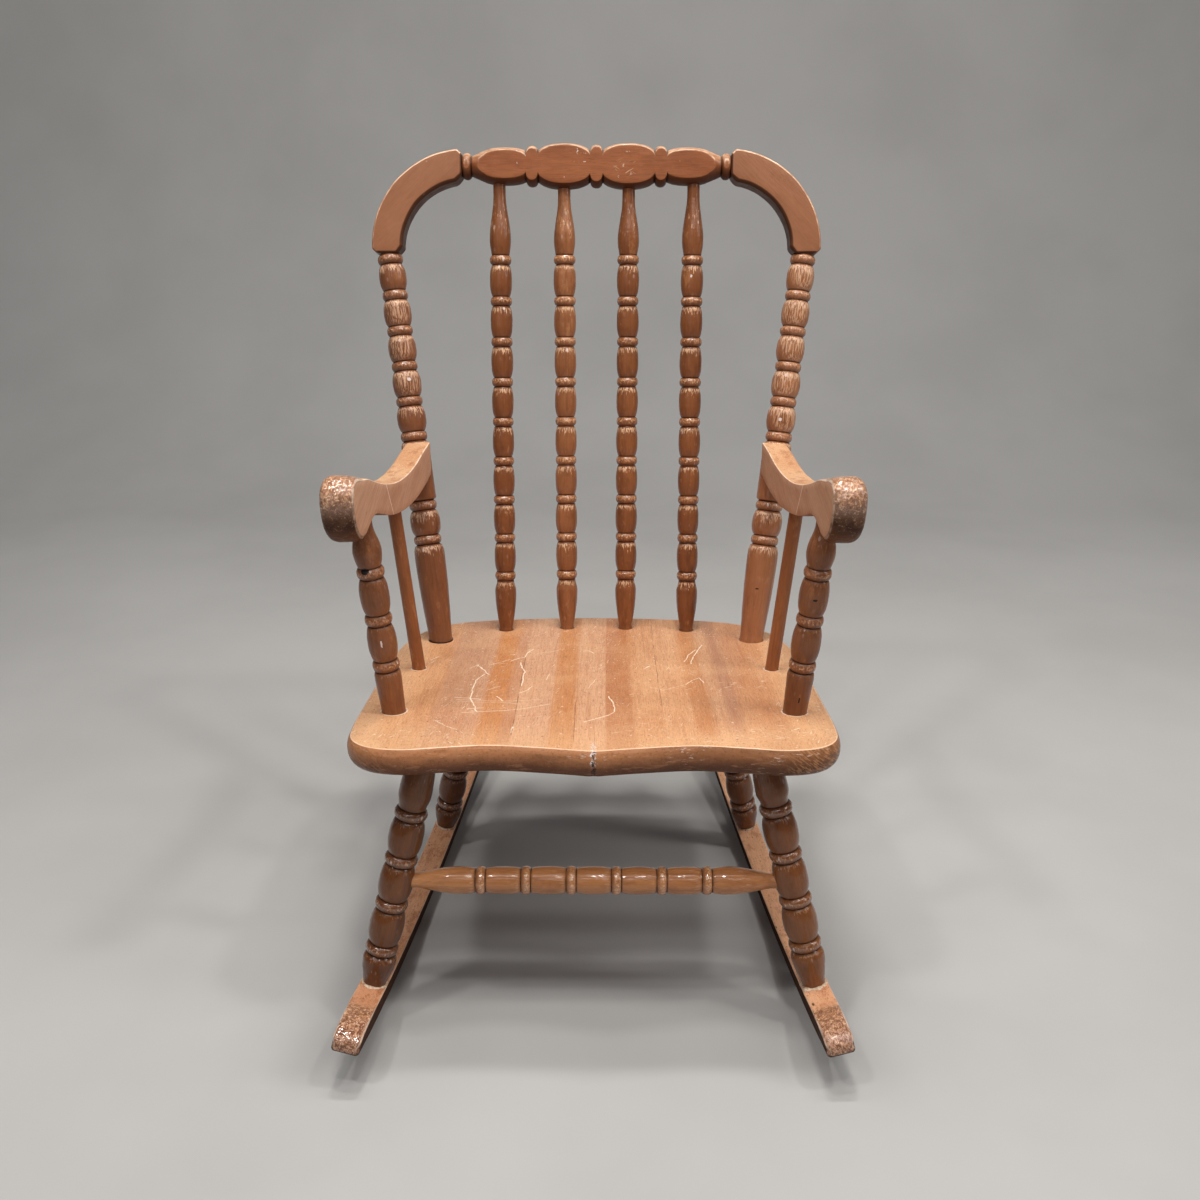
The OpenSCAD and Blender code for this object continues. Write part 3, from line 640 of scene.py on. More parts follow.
def crest_mat(name, base, light, dark, blotch, nicks=()):
    """Milled rail and sawn blocks: matte brown faces, a rubbed upper edge that is partly a painted highlight, painted
    shade on the lower edges, fine scratches.
    mask: R flat face, G grooves and ends, B edge line (partly a painted highlight). aux: R up-facing edge (rubbed,
    partly a painted highlight), G down-facing edge (painted shade), B dents."""
    T = Tree(name)
    g = T.attr("grain").outputs["Vector"]
    R, G, B = T.split(T.attr("mask").outputs["Color"])
    U, D, E = T.split(T.attr("aux").outputs["Color"])
    broad = T.noise(T.vec(g, (40, 40, 9)), detail=3, rough=0.6)
    rings = T.noise(T.vec(g, (260, 260, 12)), detail=3, rough=0.65, dist=0.4)
    fibre = T.noise(T.vec(g, (1100, 1100, 60)), detail=3, rough=0.7)
    pores = T.noise(T.vec(g, (1500, 1500, 110)), detail=1)
    blot = T.noise(T.vec(g, (85, 85, 45)), detail=4, rough=0.65)
    col = T.mix(T.step(broad, 0.32, 0.70), base, light)
    figure = 0.35 if nicks else 0.16
    col = T.mix(T.mul(T.step(rings, 0.48, 0.72), figure), col, dark)
    col = T.mix(T.mul(T.step(pores, 0.62, 0.72), 0.40), col, dark)
    col = T.mix(2 * figure, col, T.grey(T.step(fibre, 0.28, 0.72, 0.84, 1.12)), "MULTIPLY")
    col = T.mix(T.mul(T.step(blot, 0.50, 0.72), 0.35), col, blotch)
    col = T.mix(T.mul(T.step(blot, 0.42, 0.30), 0.25), col, dark)
    # a few scrapes in places, and single chips
    fine = T.noise(T.vec(g, (700, 700, 500)), detail=3, rough=0.7)
    scr = T.noise(T.vec(g, (300, 1500, 220), rot=(0.2, 0.5, 0.3)), detail=2, rough=0.5)
    where = T.step(T.noise(T.vec(g, (38, 38, 30)), detail=2), 0.58, 0.68)
    sc = T.mul(T.step(scr, 0.67, 0.72), where)
    vd, vc = T.voro(T.vec(g, (150, 150, 90)), 1.0)
    chip = T.mul(T.step(vd, 0.14, 0.08), T.step(T.split(vc)[0], 0.93, 0.95))
    if nicks:
        gv, gy, gx = T.xyz(g)
        px, pv = T.mul(T.m("SUBTRACT", gx, 0.055), 1000), T.mul(T.m("SUBTRACT", gv, 0.137), 1000)
        wob = T.mul(T.m("SUBTRACT", T.noise(T.vec(g, (330, 330, 330)), detail=2), 0.5), 2.4)
        for x0, v0, hx, hv, amt in nicks:
            dx = T.m("DIVIDE", T.add(T.m("SUBTRACT", px, x0), wob), hx * 0.75)
            dv = T.m("DIVIDE", T.add(T.m("SUBTRACT", pv, v0), wob), hv * 0.75)
            d = T.m("SQRT", T.add(T.mul(dx, dx), T.mul(dv, dv)))
            hit = T.mul(T.mul(T.step(d, 1.15, 0.7), R), amt)
            chip = T.m("MAXIMUM", chip, T.mul(hit, T.step(fine, 0.46, 0.56)))
        # a patch of fine crossed scratches right of the middle
        dx, dv = T.m("SUBTRACT", px, 28), T.add(pv, 5)
        near = T.step(T.m("SQRT", T.add(T.mul(dx, dx), T.mul(T.mul(dv, dv), 1.4))), 15, 7)
        for k, a in enumerate((0.6, -0.5)):
            ln = T.noise(T.vec(T.vec(g, rot=(0, a, 0)), (900, 1, 90), loc=(k * 2.3, 0, k)), detail=1.5, rough=0.5)
            sc = T.m("MAXIMUM", sc, T.mul(T.mul(T.step(ln, 0.64, 0.69), near), R))
    col = T.mix(T.mul(sc, 0.60), col, srgb(206, 166, 138))
    col = T.mix(T.mul(chip, 0.85), col, srgb(226, 206, 190))
    rub = T.step(T.noise(T.vec(g, (160, 160, 80)), detail=3, rough=0.65), 0.34, 0.56)
    # up-facing edges rubbed pale, partly a painted highlight
    col = T.mix(T.mul(T.mul(U, 0.9), T.add(T.mul(rub, 0.6), 0.4)), col, srgb(232, 186, 148))
    # painted shade: the down-facing edges are darkened
    col = T.mix(T.mul(D, 0.85), col, srgb(54, 29, 18))
    # pale edge line, partly a painted highlight along the upper edge
    col = T.mix(T.mul(T.mul(B, T.step(D, 0.5, 0.1)), T.add(T.mul(rub, 0.6), 0.2)), col, srgb(232, 192, 160))
    col = T.mix(T.mul(G, 0.8), col, srgb(46, 27, 18))
    T.put(T.b.inputs["Base Color"], col)
    rg = T.step(T.noise(T.vec(g, (210, 210, 90)), detail=3), 0.3, 0.7, 0.40, 0.58)
    rg = T.m("SUBTRACT", rg, T.mul(T.m("SUBTRACT", 1.0, R), 0.10))
    T.put(T.b.inputs["Roughness"], T.add(rg, T.mul(sc, 0.15), clamp=True))
    T.put(T.b.inputs["Coat Weight"], T.mul(T.m("SUBTRACT", 0.6, T.mul(R, 0.45)), T.m("SUBTRACT", 1.0, D, clamp=True)))
    T.b.inputs["Coat Roughness"].default_value = 0.14
    T.b.inputs["Specular IOR Level"].default_value = 0.12
    n1 = T.bump(T.add(fibre, T.mul(rings, 0.5)), 0.16, 0.0005)
    n2 = T.bump(T.noise(T.vec(g, (120, 120, 70)), detail=3), 0.22, 0.0012, n1)
    n3 = T.bump(T.add(sc, chip), 0.5, 0.0004, n2, invert=True)
    T.put(T.b.inputs["Normal"], n3)
    T.put(T.b.inputs["Coat Normal"], n2)
    return T.mat


def board_mat(name, side, top, edge, worn, nose_lo, nose_hi, side_rough=0.6, pit=1.0, gloss_low=0.3, top_gloss=0.15, low=0.25, dent=250):
    """Sawn and shaped boards (arms, rockers): matte sides, worn tops, a glossy chipped end.
    mask: R upper surface, G scroll or nose, B edge line (pale, partly a painted highlight on the upper edges). aux: R
    how far down the end, G painted shade on the down-facing sides, B distance from the glue joint."""
    T = Tree(name)
    g0 = T.attr("grain").outputs["Vector"]
    R, G, B = T.split(T.attr("mask").outputs["Color"])
    D, K, Q = T.split(T.attr("aux").outputs["Color"])
    # two glued blocks: Q is the distance from the joint, 40 mm to the unit
    shift = T.t.nodes.new("ShaderNodeVectorMath")
    shift.operation = "MULTIPLY_ADD"
    T.put(shift.inputs[0], T.step(Q, 0.4995, 0.5005))
    shift.inputs[1].default_value = (0.173, 0.05, 0.31)
    T.put(shift.inputs[2], g0)
    g = shift.outputs[0]
    J = T.step(T.m("ABSOLUTE", T.m("SUBTRACT", Q, 0.5)), 0.034, 0.020)
    broad = T.noise(T.vec(g, (30, 30, 7)), detail=3)
    rings = T.noise(T.vec(g, (260, 260, 14)), detail=3, rough=0.6, dist=0.5)
    fibre = T.noise(T.vec(g, (1200, 1200, 60)), detail=3, rough=0.65)
    pores = T.noise(T.vec(g, (1700, 1700, 150)), detail=1)
    wob = T.step(fibre, 0.28, 0.72, 0.84, 1.12)
    sidec = T.mix(T.step(broad, 0.35, 0.68), side[0], side[1])
    sidec = T.mix(T.mul(T.step(rings, 0.50, 0.70), 0.35), sidec, side[2])
    sidec = T.mix(T.mul(T.step(pores, 0.66, 0.74), 0.30), sidec, side[2])
    topc = T.mix(T.step(broad, 0.35, 0.66), top[0], top[1])
    blot = T.noise(T.vec(g, (110, 110, 50)), detail=4, rough=0.65)
    topc = T.mix(T.mul(T.step(blot, 0.50, 0.64), 0.65), topc, top[2])
    speck = T.noise(T.vec(g, (560, 560, 300)), detail=3, rough=0.7)
    topc = T.mix(T.mul(T.step(speck, 0.58, 0.66), 0.55), topc, worn)
    topc = T.mix(T.mul(T.step(speck, 0.40, 0.32), 0.40), topc, edge)
    # the end: bright and speckled above, dark below
    endc = T.mix(T.add(D, T.m("SUBTRACT", T.mul(blot, 0.6), 0.30), clamp=True), nose_hi, nose_lo)
    crack = T.noise(T.vec(g, (330, 330, 290)), detail=4, rough=0.65, dist=1.2)
    lines = T.step(T.m("ABSOLUTE", T.m("SUBTRACT", crack, 0.5)), 0.034, 0.014)
    endc = T.mix(T.mul(T.mul(T.step(crack, 0.50, 0.58), T.step(D, 1.05, 0.5, 0.2 + low, 1.0)), 0.62), endc, srgb(78, 43, 27))
    endc = T.mix(T.mul(T.mul(lines, T.m("SUBTRACT", 1.0, T.mul(D, low), clamp=True)), 0.5), endc, srgb(60, 34, 22))
    endc = T.mix(T.mul(T.mul(T.step(crack, 0.43, 0.37), T.step(D, 0.8, 0.1, low, 1.0)), 0.8), endc, srgb(240, 204, 168))
    if low > 0.5:
        web = T.step(T.m("ABSOLUTE", T.m("SUBTRACT", crack, 0.47)), 0.030, 0.012)
        endc = T.mix(T.mul(T.mul(web, T.step(D, 0.25, 0.7)), 0.55), endc, srgb(226, 182, 148))
    dents = T.noise(T.vec(g, (dent, dent, 0.88 * dent)), detail=1, rough=0.5)
    col = T.mix(T.step(R, 0.25, 0.75), sidec, topc)
    col = T.mix(T.step(G, 0.15, 0.8), col, endc)
    # painted shade: the down-facing sides (aux G) take the dark side colour
    col = T.mix(K, col, side[3])
    col = T.mix(0.75, col, T.grey(wob), "MULTIPLY")
    # dark pits and small dents
    vd, vc = T.voro(T.vec(g, (95, 95, 42)), 1.0)
    pits = T.mul(T.mul(T.step(vd, 0.15, 0.08), T.step(T.split(vc)[0], 0.80, 0.82)), pit)
    col = T.mix(T.mul(pits, 0.8), col, srgb(52, 30, 22))
    rub = T.step(T.noise(T.vec(g, (150, 150, 90)), detail=3, rough=0.6), 0.34, 0.56)
    # pale edge line, rubbed in places and partly a painted highlight along the upper edges
    col = T.mix(T.mul(B, T.add(T.mul(rub, 0.65), 0.25), clamp=True), col, edge)
    seam = T.mul(J, T.step(T.noise(T.vec(g, (300, 300, 300)), detail=2), 0.3, 0.5, 0.65, 1.0))
    col = T.mix(T.mul(T.step(T.m("ABSOLUTE", T.m("SUBTRACT", Q, 0.532)), 0.03, 0.01), 0.35), col, srgb(120, 78, 56))
    col = T.mix(T.mul(seam, 0.78), col, srgb(246, 218, 194))
    T.put(T.b.inputs["Base Color"], col)
    base_r = T.step(T.noise(T.vec(g, (240, 240, 120)), detail=3), 0.3, 0.7, side_rough - 0.08, side_rough + 0.10)
    rg = T.m("SUBTRACT", base_r, T.add(T.mul(R, 0.10), T.mul(G, 0.20)))
    T.put(T.b.inputs["Roughness"], T.m("MAXIMUM", rg, 0.16))
    coat = T.m("MULTIPLY_ADD", T.mul(G, T.step(D, 0.9, 0.4, gloss_low, 1.0)), 1.0, T.mul(R, top_gloss), clamp=True)
    T.put(T.b.inputs["Coat Weight"], coat)
    T.b.inputs["Coat Roughness"].default_value = 0.06
    T.b.inputs["Coat IOR"].default_value = 1.9
    T.b.inputs["Specular IOR Level"].default_value = 0.02
    n0 = T.bump(T.mul(dents, T.add(G, T.mul(R, 0.25))), 1.0, 0.225 / dent)
    n2 = T.bump(T.mul(lines, G), 0.35, 0.0005, n0, invert=True)
    n3 = T.bump(T.add(fibre, T.mul(pores, -0.4)), 0.20, 0.0005, n2)
    n3 = T.bump(pits, 0.7, 0.0007, n3, invert=True)
    T.put(T.b.inputs["Normal"], n3)
    T.put(T.b.inputs["Coat Normal"], n2)
    return T.mat


# seat features in its own plane: x, y in mm from the middle and the front
SCRATCHES = [
    # strength, half width, points
    (1.0, 0.5, [(-106, 186), (-112, 169), (-113, 141), (-112, 120), (-108, 102), (-102, 84)]),
    (1.0, 0.5, [(-116, 214), (-101, 184)]),
    (0.5, 0.4, [(-121, 204), (-114, 217)]),
    (0.6, 0.4, [(-104, 214), (-94, 222), (-84, 233)]),
    (1.0, 0.5, [(-75, 222), (-71, 208), (-68, 193), (-68, 169), (-68, 154)]),
    (0.8, 0.45, [(-84, 226), (-76, 236), (-71, 239), (-68, 255), (-64, 265)]),
    (0.7, 0.45, [(-127, 122), (-113, 120), (-103, 116)]),
    (0.45, 0.35, [(-124, 116), (-81, 112), (-49, 116)]),
    (0.45, 0.35, [(-122, 110), (-84, 109), (-66, 105)]),
    (0.8, 0.5, [(-112, 92), (-98, 95)]),
    (0.6, 0.4, [(-116, 83), (-78, 88), (-62, 93), (-40, 105)]),
    (0.7, 0.4, [(-69, 133), (-62, 142), (-58, 152)]),
    (0.8, 0.5, [(-89, 124), (-82, 112)]),
    (0.5, 0.4, [(-136, 63), (-127, 53), (-115, 43)]),
    (0.7, 0.4, [(-163, 229), (-157, 240)]),
    (0.85, 0.45, [(13, 125), (16, 110), (18, 95), (17, 84), (13, 78), (0, 68), (-9, 61)]),
    (0.9, 0.5, [(88, 226), (94, 247), (102, 264)]),
    (0.8, 0.45, [(94, 219), (98, 240), (106, 270), (110, 280)]),
    (0.45, 0.35, [(79, 206), (91, 215)]),
    (0.7, 0.4, [(85, 158), (92, 170), (99, 177), (102, 162)]),
    (0.45, 0.35, [(51, 150), (63, 142), (85, 158)]),
    (0.5, 0.35, [(-58, 252), (-46, 256), (-32, 266)]),
    (0.9, 0.5, [(-12, 259), (-6, 260), (-2, 252)]),
    (0.8, 0.6, [(48, 205), (53, 212)]),
    (0.5, 0.4, [(-6, 147), (1, 173)]),
    (0.6, 0.4, [(-46, 170), (-44, 187)]),
    (0.8, 0.45, [(166, 42), (174, 48)]),
    (0.5, 0.4, [(150, 24), (158, 26)]),
    (0.5, 0.4, [(-100, 140), (-88, 152)]),
    (0.9, 0.6, [(-69, 36), (-69, 49)]),
]
FEET = []
# strips of the glued panel: right-hand limit in m, how dark, how pink
STRIPS = [(-0.160, 0.30, 0.2), (-0.143, 0.45, 0.3), (-0.100, 0.55, 0.9), (-0.080, 0.85, 0.0), (-0.0695, 0.60, 0.8),
          (-0.038, 0.25, 0.9), (-0.017, 0.70, 0.1), (0.010, 0.25, 0.7), (0.034, 0.95, 0.5), (0.060, 0.40, 0.2),
          (0.086, 0.30, 0.3), (0.103, 0.75, 0.2), (0.116, 0.35, 0.5), (0.128, 0.75, 1.0), (0.167, 0.60, 0.5), (0.3, 0.35, 0.2)]


def seat_mat(name):
    """Glued boards, worn to a light orange tan on top, with scratches; the rounded edge keeps
    its dark finish, painted lighter towards its top as light from above. mask: R edge, G under, B edge line (a pale
    line along the top edge, partly a painted highlight). grain is x, z, y of the board in metres."""
    T = Tree(name)
    g = T.attr("grain").outputs["Vector"]
    R, G, B = T.split(T.attr("mask").outputs["Color"])
    x, z, y = T.xyz(g)
    # boards: uneven widths, each with its own tone and grain
    warp = T.mul(T.m("SUBTRACT", T.noise(T.vec(g, (5, 0, 4)), detail=2), 0.5), 0.007)
    xb = T.add(x, warp)
    tone, pink = STRIPS[0][1], STRIPS[0][2]
    for k in range(len(STRIPS) - 1):
        c = STRIPS[k][0]
        soft = 0.0010 if k in (4, 7, 9) else 0.0035
        st_ = T.step(xb, c - soft, c + soft)
        tone = T.add(T.mul(st_, STRIPS[k + 1][1] - STRIPS[k][1]), tone)
        pink = T.add(T.mul(st_, STRIPS[k + 1][2] - STRIPS[k][2]), pink)
    off = T.mul(T.m("FLOOR", T.mul(tone, 12)), 0.37)
    comb = T.t.nodes.new("ShaderNodeCombineXYZ")
    T.put(comb.inputs[0], T.add(x, off))
    T.put(comb.inputs[1], z)
    T.put(comb.inputs[2], y)
    v = comb.outputs[0]
    broad = T.noise(T.vec(v, (40, 20, 9)), detail=4, rough=0.6)
    rings = T.noise(T.vec(v, (230, 120, 8)), detail=3, rough=0.65, dist=0.8)
    fibre = T.noise(T.vec(v, (1100, 800, 40)), detail=3, rough=0.7)
    pores = T.noise(T.vec(v, (1500, 900, 110)), detail=1)
    ray = T.noise(T.vec(v, (700, 700, 260)), detail=3, rough=0.7)
    tt = T.add(tone, T.mul(T.m("SUBTRACT", broad, 0.5), 1.1), clamp=True)
    orange = T.mix(tt, srgb(226, 172, 124), srgb(196, 126, 74))
    rosy = T.mix(tt, srgb(220, 170, 134), srgb(184, 126, 92))
    topc = T.mix(pink, orange, rosy)
    topc = T.mix(T.mul(T.step(rings, 0.46, 0.72), 0.45), topc, srgb(182, 116, 74))
    topc = T.mix(T.mul(T.step(pores, 0.56, 0.68), 0.55), topc, srgb(150, 92, 58))
    topc = T.mix(0.85, topc, T.grey(T.step(fibre, 0.30, 0.70, 0.80, 1.10)), "MULTIPLY")
    topc = T.mix(T.mul(T.step(ray, 0.57, 0.66), 0.45), topc, srgb(160, 98, 62))
    topc = T.mix(T.mul(T.step(ray, 0.39, 0.33), 0.45), topc, srgb(246, 206, 166))
    # rubbed pale near the front and the sides
    fade = T.noise(T.vec(g, (13, 13, 13)), detail=2)
    rim = T.m("MAXIMUM", T.step(y, 0.07, 0.01), T.step(T.m("ABSOLUTE", x), 0.15, 0.195))
    topc = T.mix(T.mul(T.add(T.mul(T.step(fade, 0.45, 0.7), 0.30), T.mul(rim, 0.40)), T.step(ray, 0.62, 0.5, 0.4, 1.0), clamp=True), topc, srgb(234, 184, 138))
    # fine random scratches, in four directions, thin and broken
    allsc = None
    for k, (rot, sc, lo) in enumerate([(0.5, (70, 70, 900), 0.66), (1.25, (60, 60, 1000), 0.66), (2.3, (80, 80, 850), 0.67), (2.9, (90, 90, 1200), 0.67)]):
        r = T.noise(T.vec(T.vec(g, rot=(0, rot, 0)), (sc[0], 0.01, sc[2]), loc=(k * 3.1, 0, k * 1.7)), detail=1.5, rough=0.55, dist=0.25)
        w = T.step(T.noise(T.vec(g, (17, 1, 17), loc=(k * 5.3, 0, 0)), detail=2), 0.50, 0.64)
        sline = T.mul(T.step(r, lo, lo + 0.03), w)
        allsc = sline if allsc is None else T.m("MAXIMUM", allsc, sline)
    # longer ones where they were made: distance to each stroke
    wob = T.mul(T.m("SUBTRACT", T.noise(T.vec(g, (70, 1, 70)), detail=3), 0.5), 5)
    pos = T.t.nodes.new("ShaderNodeCombineXYZ")
    T.put(pos.inputs[0], T.add(T.mul(x, 1000), wob))
    T.put(pos.inputs[1], T.add(T.mul(y, 1000), T.mul(wob, 0.6)))

    def vmath(op, a, b=None, scale=None):
        n = T.t.nodes.new("ShaderNodeVectorMath")
        n.operation = op
        T.put(n.inputs[0], a)
        if b is not None:
            T.put(n.inputs[1], b)
        if scale is not None:
            T.put(n.inputs["Scale"], scale)
        return n.outputs["Value"] if op in ("DOT_PRODUCT", "DISTANCE") else n.outputs["Vector"]

    brk = T.step(T.noise(T.vec(g, (260, 1, 260)), detail=2), 0.34, 0.48, 0.45, 1.0)
    strokes, here = None, pos.outputs[0]
    for amt, hw, pts in SCRATCHES:
        for (ax, ay), (bx, by) in zip(pts, pts[1:]):
            dx, dy = bx - ax, by - ay
            q2 = dx * dx + dy * dy
            rel = vmath("SUBTRACT", here, (ax, ay, 0))
            t = T.m("MULTIPLY", vmath("DOT_PRODUCT", rel, (dx / q2, dy / q2, 0)), 1.0, clamp=True)
            d = vmath("DISTANCE", rel, vmath("SCALE", (dx, dy, 0), scale=t))
            ln = T.step(d, hw * 1.5, hw * 0.6, 0.0, min(1.0, amt * 1.3))
            strokes = ln if strokes is None else T.m("MAXIMUM", strokes, ln)
            # each stroke waits for the one before it
            n = T.t.nodes.new("ShaderNodeVectorMath")
            n.operation = "MULTIPLY_ADD"
            T.put(n.inputs[0], strokes)
            n.inputs[1].default_value = (1e-6, 1e-6, 0)
            T.put(n.inputs[2], here)
            here = n.outputs[0]
    allsc = T.m("MAXIMUM", T.mul(allsc, 0.85), T.mul(strokes, brk))
    topside = T.step(R, 0.5, 0.2)
    topc = T.mix(T.mul(allsc, 0.9), topc, srgb(254, 232, 204))
    # small dark and pale specks
    vd, vc = T.voro(T.vec(g, (150, 1, 150)), 1.0)
    spk = T.mul(T.step(vd, 0.17, 0.09), T.step(T.split(vc)[0], 0.58, 0.60))
    topc = T.mix(T.mul(spk, 0.7), topc, T.mix(T.step(T.split(vc)[1], 0.40, 0.50), srgb(132, 78, 50), srgb(248, 220, 194)))
    # open joints between boards
    joint = None
    for c, wd, y0, y1 in [(-0.0695, 0.0003, 0.03, 0.24), (0.0004, 0.00025, -0.02, 0.03), (0.060, 0.0002, 0.1, 0.39), (-0.017, 0.0002, 0.02, 0.12)]:
        ln = T.step(T.m("ABSOLUTE", T.m("SUBTRACT", xb, c)), wd * 2.2, wd)
        ln = T.mul(ln, T.mul(T.step(y, y0 - 0.01, y0 + 0.01), T.step(y, y1 + 0.02, y1 - 0.02)))
        joint = ln if joint is None else T.m("MAXIMUM", joint, ln)
    joint = T.mul(joint, T.step(T.noise(T.vec(g, (90, 1, 45)), detail=3, rough=0.7), 0.42, 0.56, 0.1, 1.0))
    topc = T.mix(T.mul(joint, 0.6), topc, srgb(112, 68, 46))
    # a dark line where each turning enters
    ring = None
    pale_ring = None
    for fx, fy, fr, pale in FEET:
        dx, dy = T.m("SUBTRACT", T.m("ABSOLUTE", x), fx / 1000), T.m("SUBTRACT", y, fy / 1000)
        d = T.m("SQRT", T.add(T.mul(dx, dx), T.mul(dy, dy)))
        off_ = 1.0 if pale else 0.3
        one = T.step(T.m("ABSOLUTE", T.m("SUBTRACT", d, (fr + off_) / 1000)), 0.0012, 0.0004)
        if pale:
            pale_ring = one if pale_ring is None else T.m("MAXIMUM", pale_ring, one)
            one = T.step(T.m("ABSOLUTE", T.m("SUBTRACT", d, fr / 1000)), 0.0008, 0.0003)
        ring = one if ring is None else T.m("MAXIMUM", ring, one)
    pale_ring = T.mul(pale_ring, T.step(T.noise(T.vec(g, (170, 170, 170)), detail=2), 0.40, 0.52))
    topc = T.mix(T.mul(pale_ring, 0.8), topc, srgb(250, 226, 200))
    topc = T.mix(T.mul(ring, 0.75), topc, srgb(86, 50, 34))
    # the open gap in front of the left back post: painted shade, as the gap is not cut into the seat
    gx, gy, gr_ = GAP_SHADE
    dx, dy = T.m("SUBTRACT", x, gx / 1000), T.m("SUBTRACT", y, gy / 1000)
    d = T.m("SQRT", T.add(T.mul(dx, dx), T.mul(dy, dy)))
    topc = T.mix(T.step(d, (gr_ + 0.25) / 1000, (gr_ - 0.15) / 1000), topc, srgb(26, 15, 11))
    # the edge: dark brown with white scuffs and rubs, lighter towards its top as painted light from above
    eb = T.noise(T.vec(g, (30, 60, 30)), detail=4, rough=0.6)
    edgec = T.mix(T.step(T.add(z, T.mul(T.m("SUBTRACT", eb, 0.5), 0.014)), -0.020, -0.003), srgb(100, 56, 30), srgb(178, 120, 80))
    eg = T.noise(T.vec(g, (420, 420, 420)), detail=4, rough=0.7)
    edgec = T.mix(T.mul(T.step(eg, 0.5, 0.66), 0.35), edgec, srgb(88, 54, 36))
    edgec = T.mix(T.mul(T.step(eg, 0.42, 0.32), 0.30), edgec, srgb(182, 130, 94))
    edgec = T.mix(T.mul(T.step(x, 0.0, 0.09), 0.38), edgec, srgb(66, 37, 22))
    # end grain shows as a fine hatch at the two front corners
    hatch = T.noise(T.vec(T.vec(g, rot=(0, 0, 0.7)), (120, 620, 120)), detail=2.5, rough=0.6)
    corner = T.mul(T.add(T.step(x, 0.146, 0.176), T.step(x, -0.155, -0.178, 0.0, 0.35)), T.step(y, 0.06, 0.02))
    edgec = T.mix(T.mul(T.mul(T.step(hatch, 0.50, 0.57), corner), 0.50), edgec, srgb(200, 144, 98))
    edgec = T.mix(T.mul(T.mul(T.step(hatch, 0.46, 0.40), corner), 0.25), edgec, srgb(64, 36, 21))
    scuff = T.mul(T.step(T.noise(T.vec(g, (130, 620, 130)), detail=4, rough=0.7), 0.575, 0.625),
                  T.step(T.noise(T.vec(g, (19, 90, 19)), detail=2), 0.55, 0.65))
    edgec = T.mix(T.mul(scuff, 0.75), edgec, srgb(214, 188, 172))
    wearc = T.mul(T.step(T.noise(T.vec(g, (42, 160, 42)), detail=3, rough=0.65), 0.54, 0.68), 0.45)
    edgec = T.mix(wearc, edgec, srgb(178, 124, 88))
    # a knock at the middle of the front, with a crack below it
    kx = T.m("ABSOLUTE", T.add(x, T.mul(T.m("SUBTRACT", T.noise(T.vec(g, (300, 300, 300)), detail=2), 0.5), 0.010)))
    knock = T.mul(T.step(kx, 0.0030, 0.0010), T.mul(T.step(y, 0.022, 0.004), T.step(T.noise(T.vec(g, (420, 420, 420)), detail=3, rough=0.7), 0.47, 0.56)))
    crack = T.mul(T.step(kx, 0.0011, 0.0005), T.step(y, 0.012, 0.004))
    edgec = T.mix(T.mul(crack, 0.9), edgec, srgb(38, 22, 16))
    edgec = T.mix(T.mul(knock, T.step(z, -0.016, -0.006)), edgec, srgb(236, 228, 226))
    topc = T.mix(T.mul(knock, 0.9), topc, srgb(240, 230, 222))
    col = T.mix(T.step(R, 0.35, 0.65), topc, edgec)
    # pale line along the top edge, rubbed in places: partly a painted highlight
    rub = T.step(T.noise(T.vec(g, (70, 70, 70)), detail=3, rough=0.6), 0.30, 0.5, 0.55, 1.0)
    col = T.mix(T.mul(B, rub), col, srgb(240, 198, 162))
    col = T.mix(T.mul(G, 0.75), col, srgb(118, 76, 50))
    T.put(T.b.inputs["Base Color"], col)
    rt = T.step(T.noise(T.vec(g, (90, 40, 40)), detail=3), 0.3, 0.7, 0.34, 0.50)
    rt = T.add(rt, T.mul(T.m("SUBTRACT", ray, 0.5), 0.25))
    rt = T.add(rt, T.mul(allsc, 0.2))
    T.put(T.b.inputs["Roughness"], T.m("SUBTRACT", rt, T.mul(R, 0.06), clamp=True))
    T.b.inputs["Coat Weight"].default_value = 0.22
    T.b.inputs["Coat Roughness"].default_value = 0.18
    T.b.inputs["Specular IOR Level"].default_value = 0.15
    n1 = T.bump(T.add(fibre, T.mul(pores, -0.4)), 0.12, 0.0004)
    n2 = T.bump(T.noise(T.vec(g, (24, 24, 5)), detail=2), 0.10, 0.004, n1)
    n3 = T.bump(T.add(T.mul(allsc, topside), T.add(T.mul(joint, 1.5), T.mul(scuff, R))), 0.45, 0.0004, n2, invert=True)
    n4 = T.bump(T.mul(T.noise(T.vec(g, (260, 520, 260)), detail=3, rough=0.6), R), 0.25, 0.0010, n3)
    T.put(T.b.inputs["Normal"], n4)
    T.put(T.b.inputs["Coat Normal"], n2)
    return T.mat


def glue_mat():
    T = Tree("old_glue")
    g = T.attr("grain").outputs["Vector"]
    n = T.noise(T.vec(g, (420, 420, 420)), detail=4, rough=0.7)
    col = T.mix(T.step(n, 0.40, 0.62), srgb(230, 208, 180), srgb(204, 164, 134))
    col = T.mix(T.step(n, 0.58, 0.68), col, srgb(104, 66, 46))
    T.put(T.b.inputs["Base Color"], col)
    T.put(T.b.inputs["Roughness"], T.step(n, 0.3, 0.7, 0.45, 0.7))
    T.put(T.b.inputs["Normal"], T.bump(n, 0.6, 0.001))
    return T.mat


def steel_mat():
    T = Tree("screw_steel")
    tc = T.t.nodes.new("ShaderNodeTexCoord")
    n = T.noise(T.vec(tc.outputs["Object"], (900, 900, 900)), detail=3)
    T.put(T.b.inputs["Base Color"], T.mix(T.step(n, 0.35, 0.7), srgb(176, 172, 160), srgb(120, 112, 98)))
    T.b.inputs["Metallic"].default_value = 1.0
    T.put(T.b.inputs["Roughness"], T.step(n, 0.3, 0.7, 0.3, 0.55))
    T.put(T.b.inputs["Normal"], T.bump(n, 0.2, 0.0003))
    return T.mat


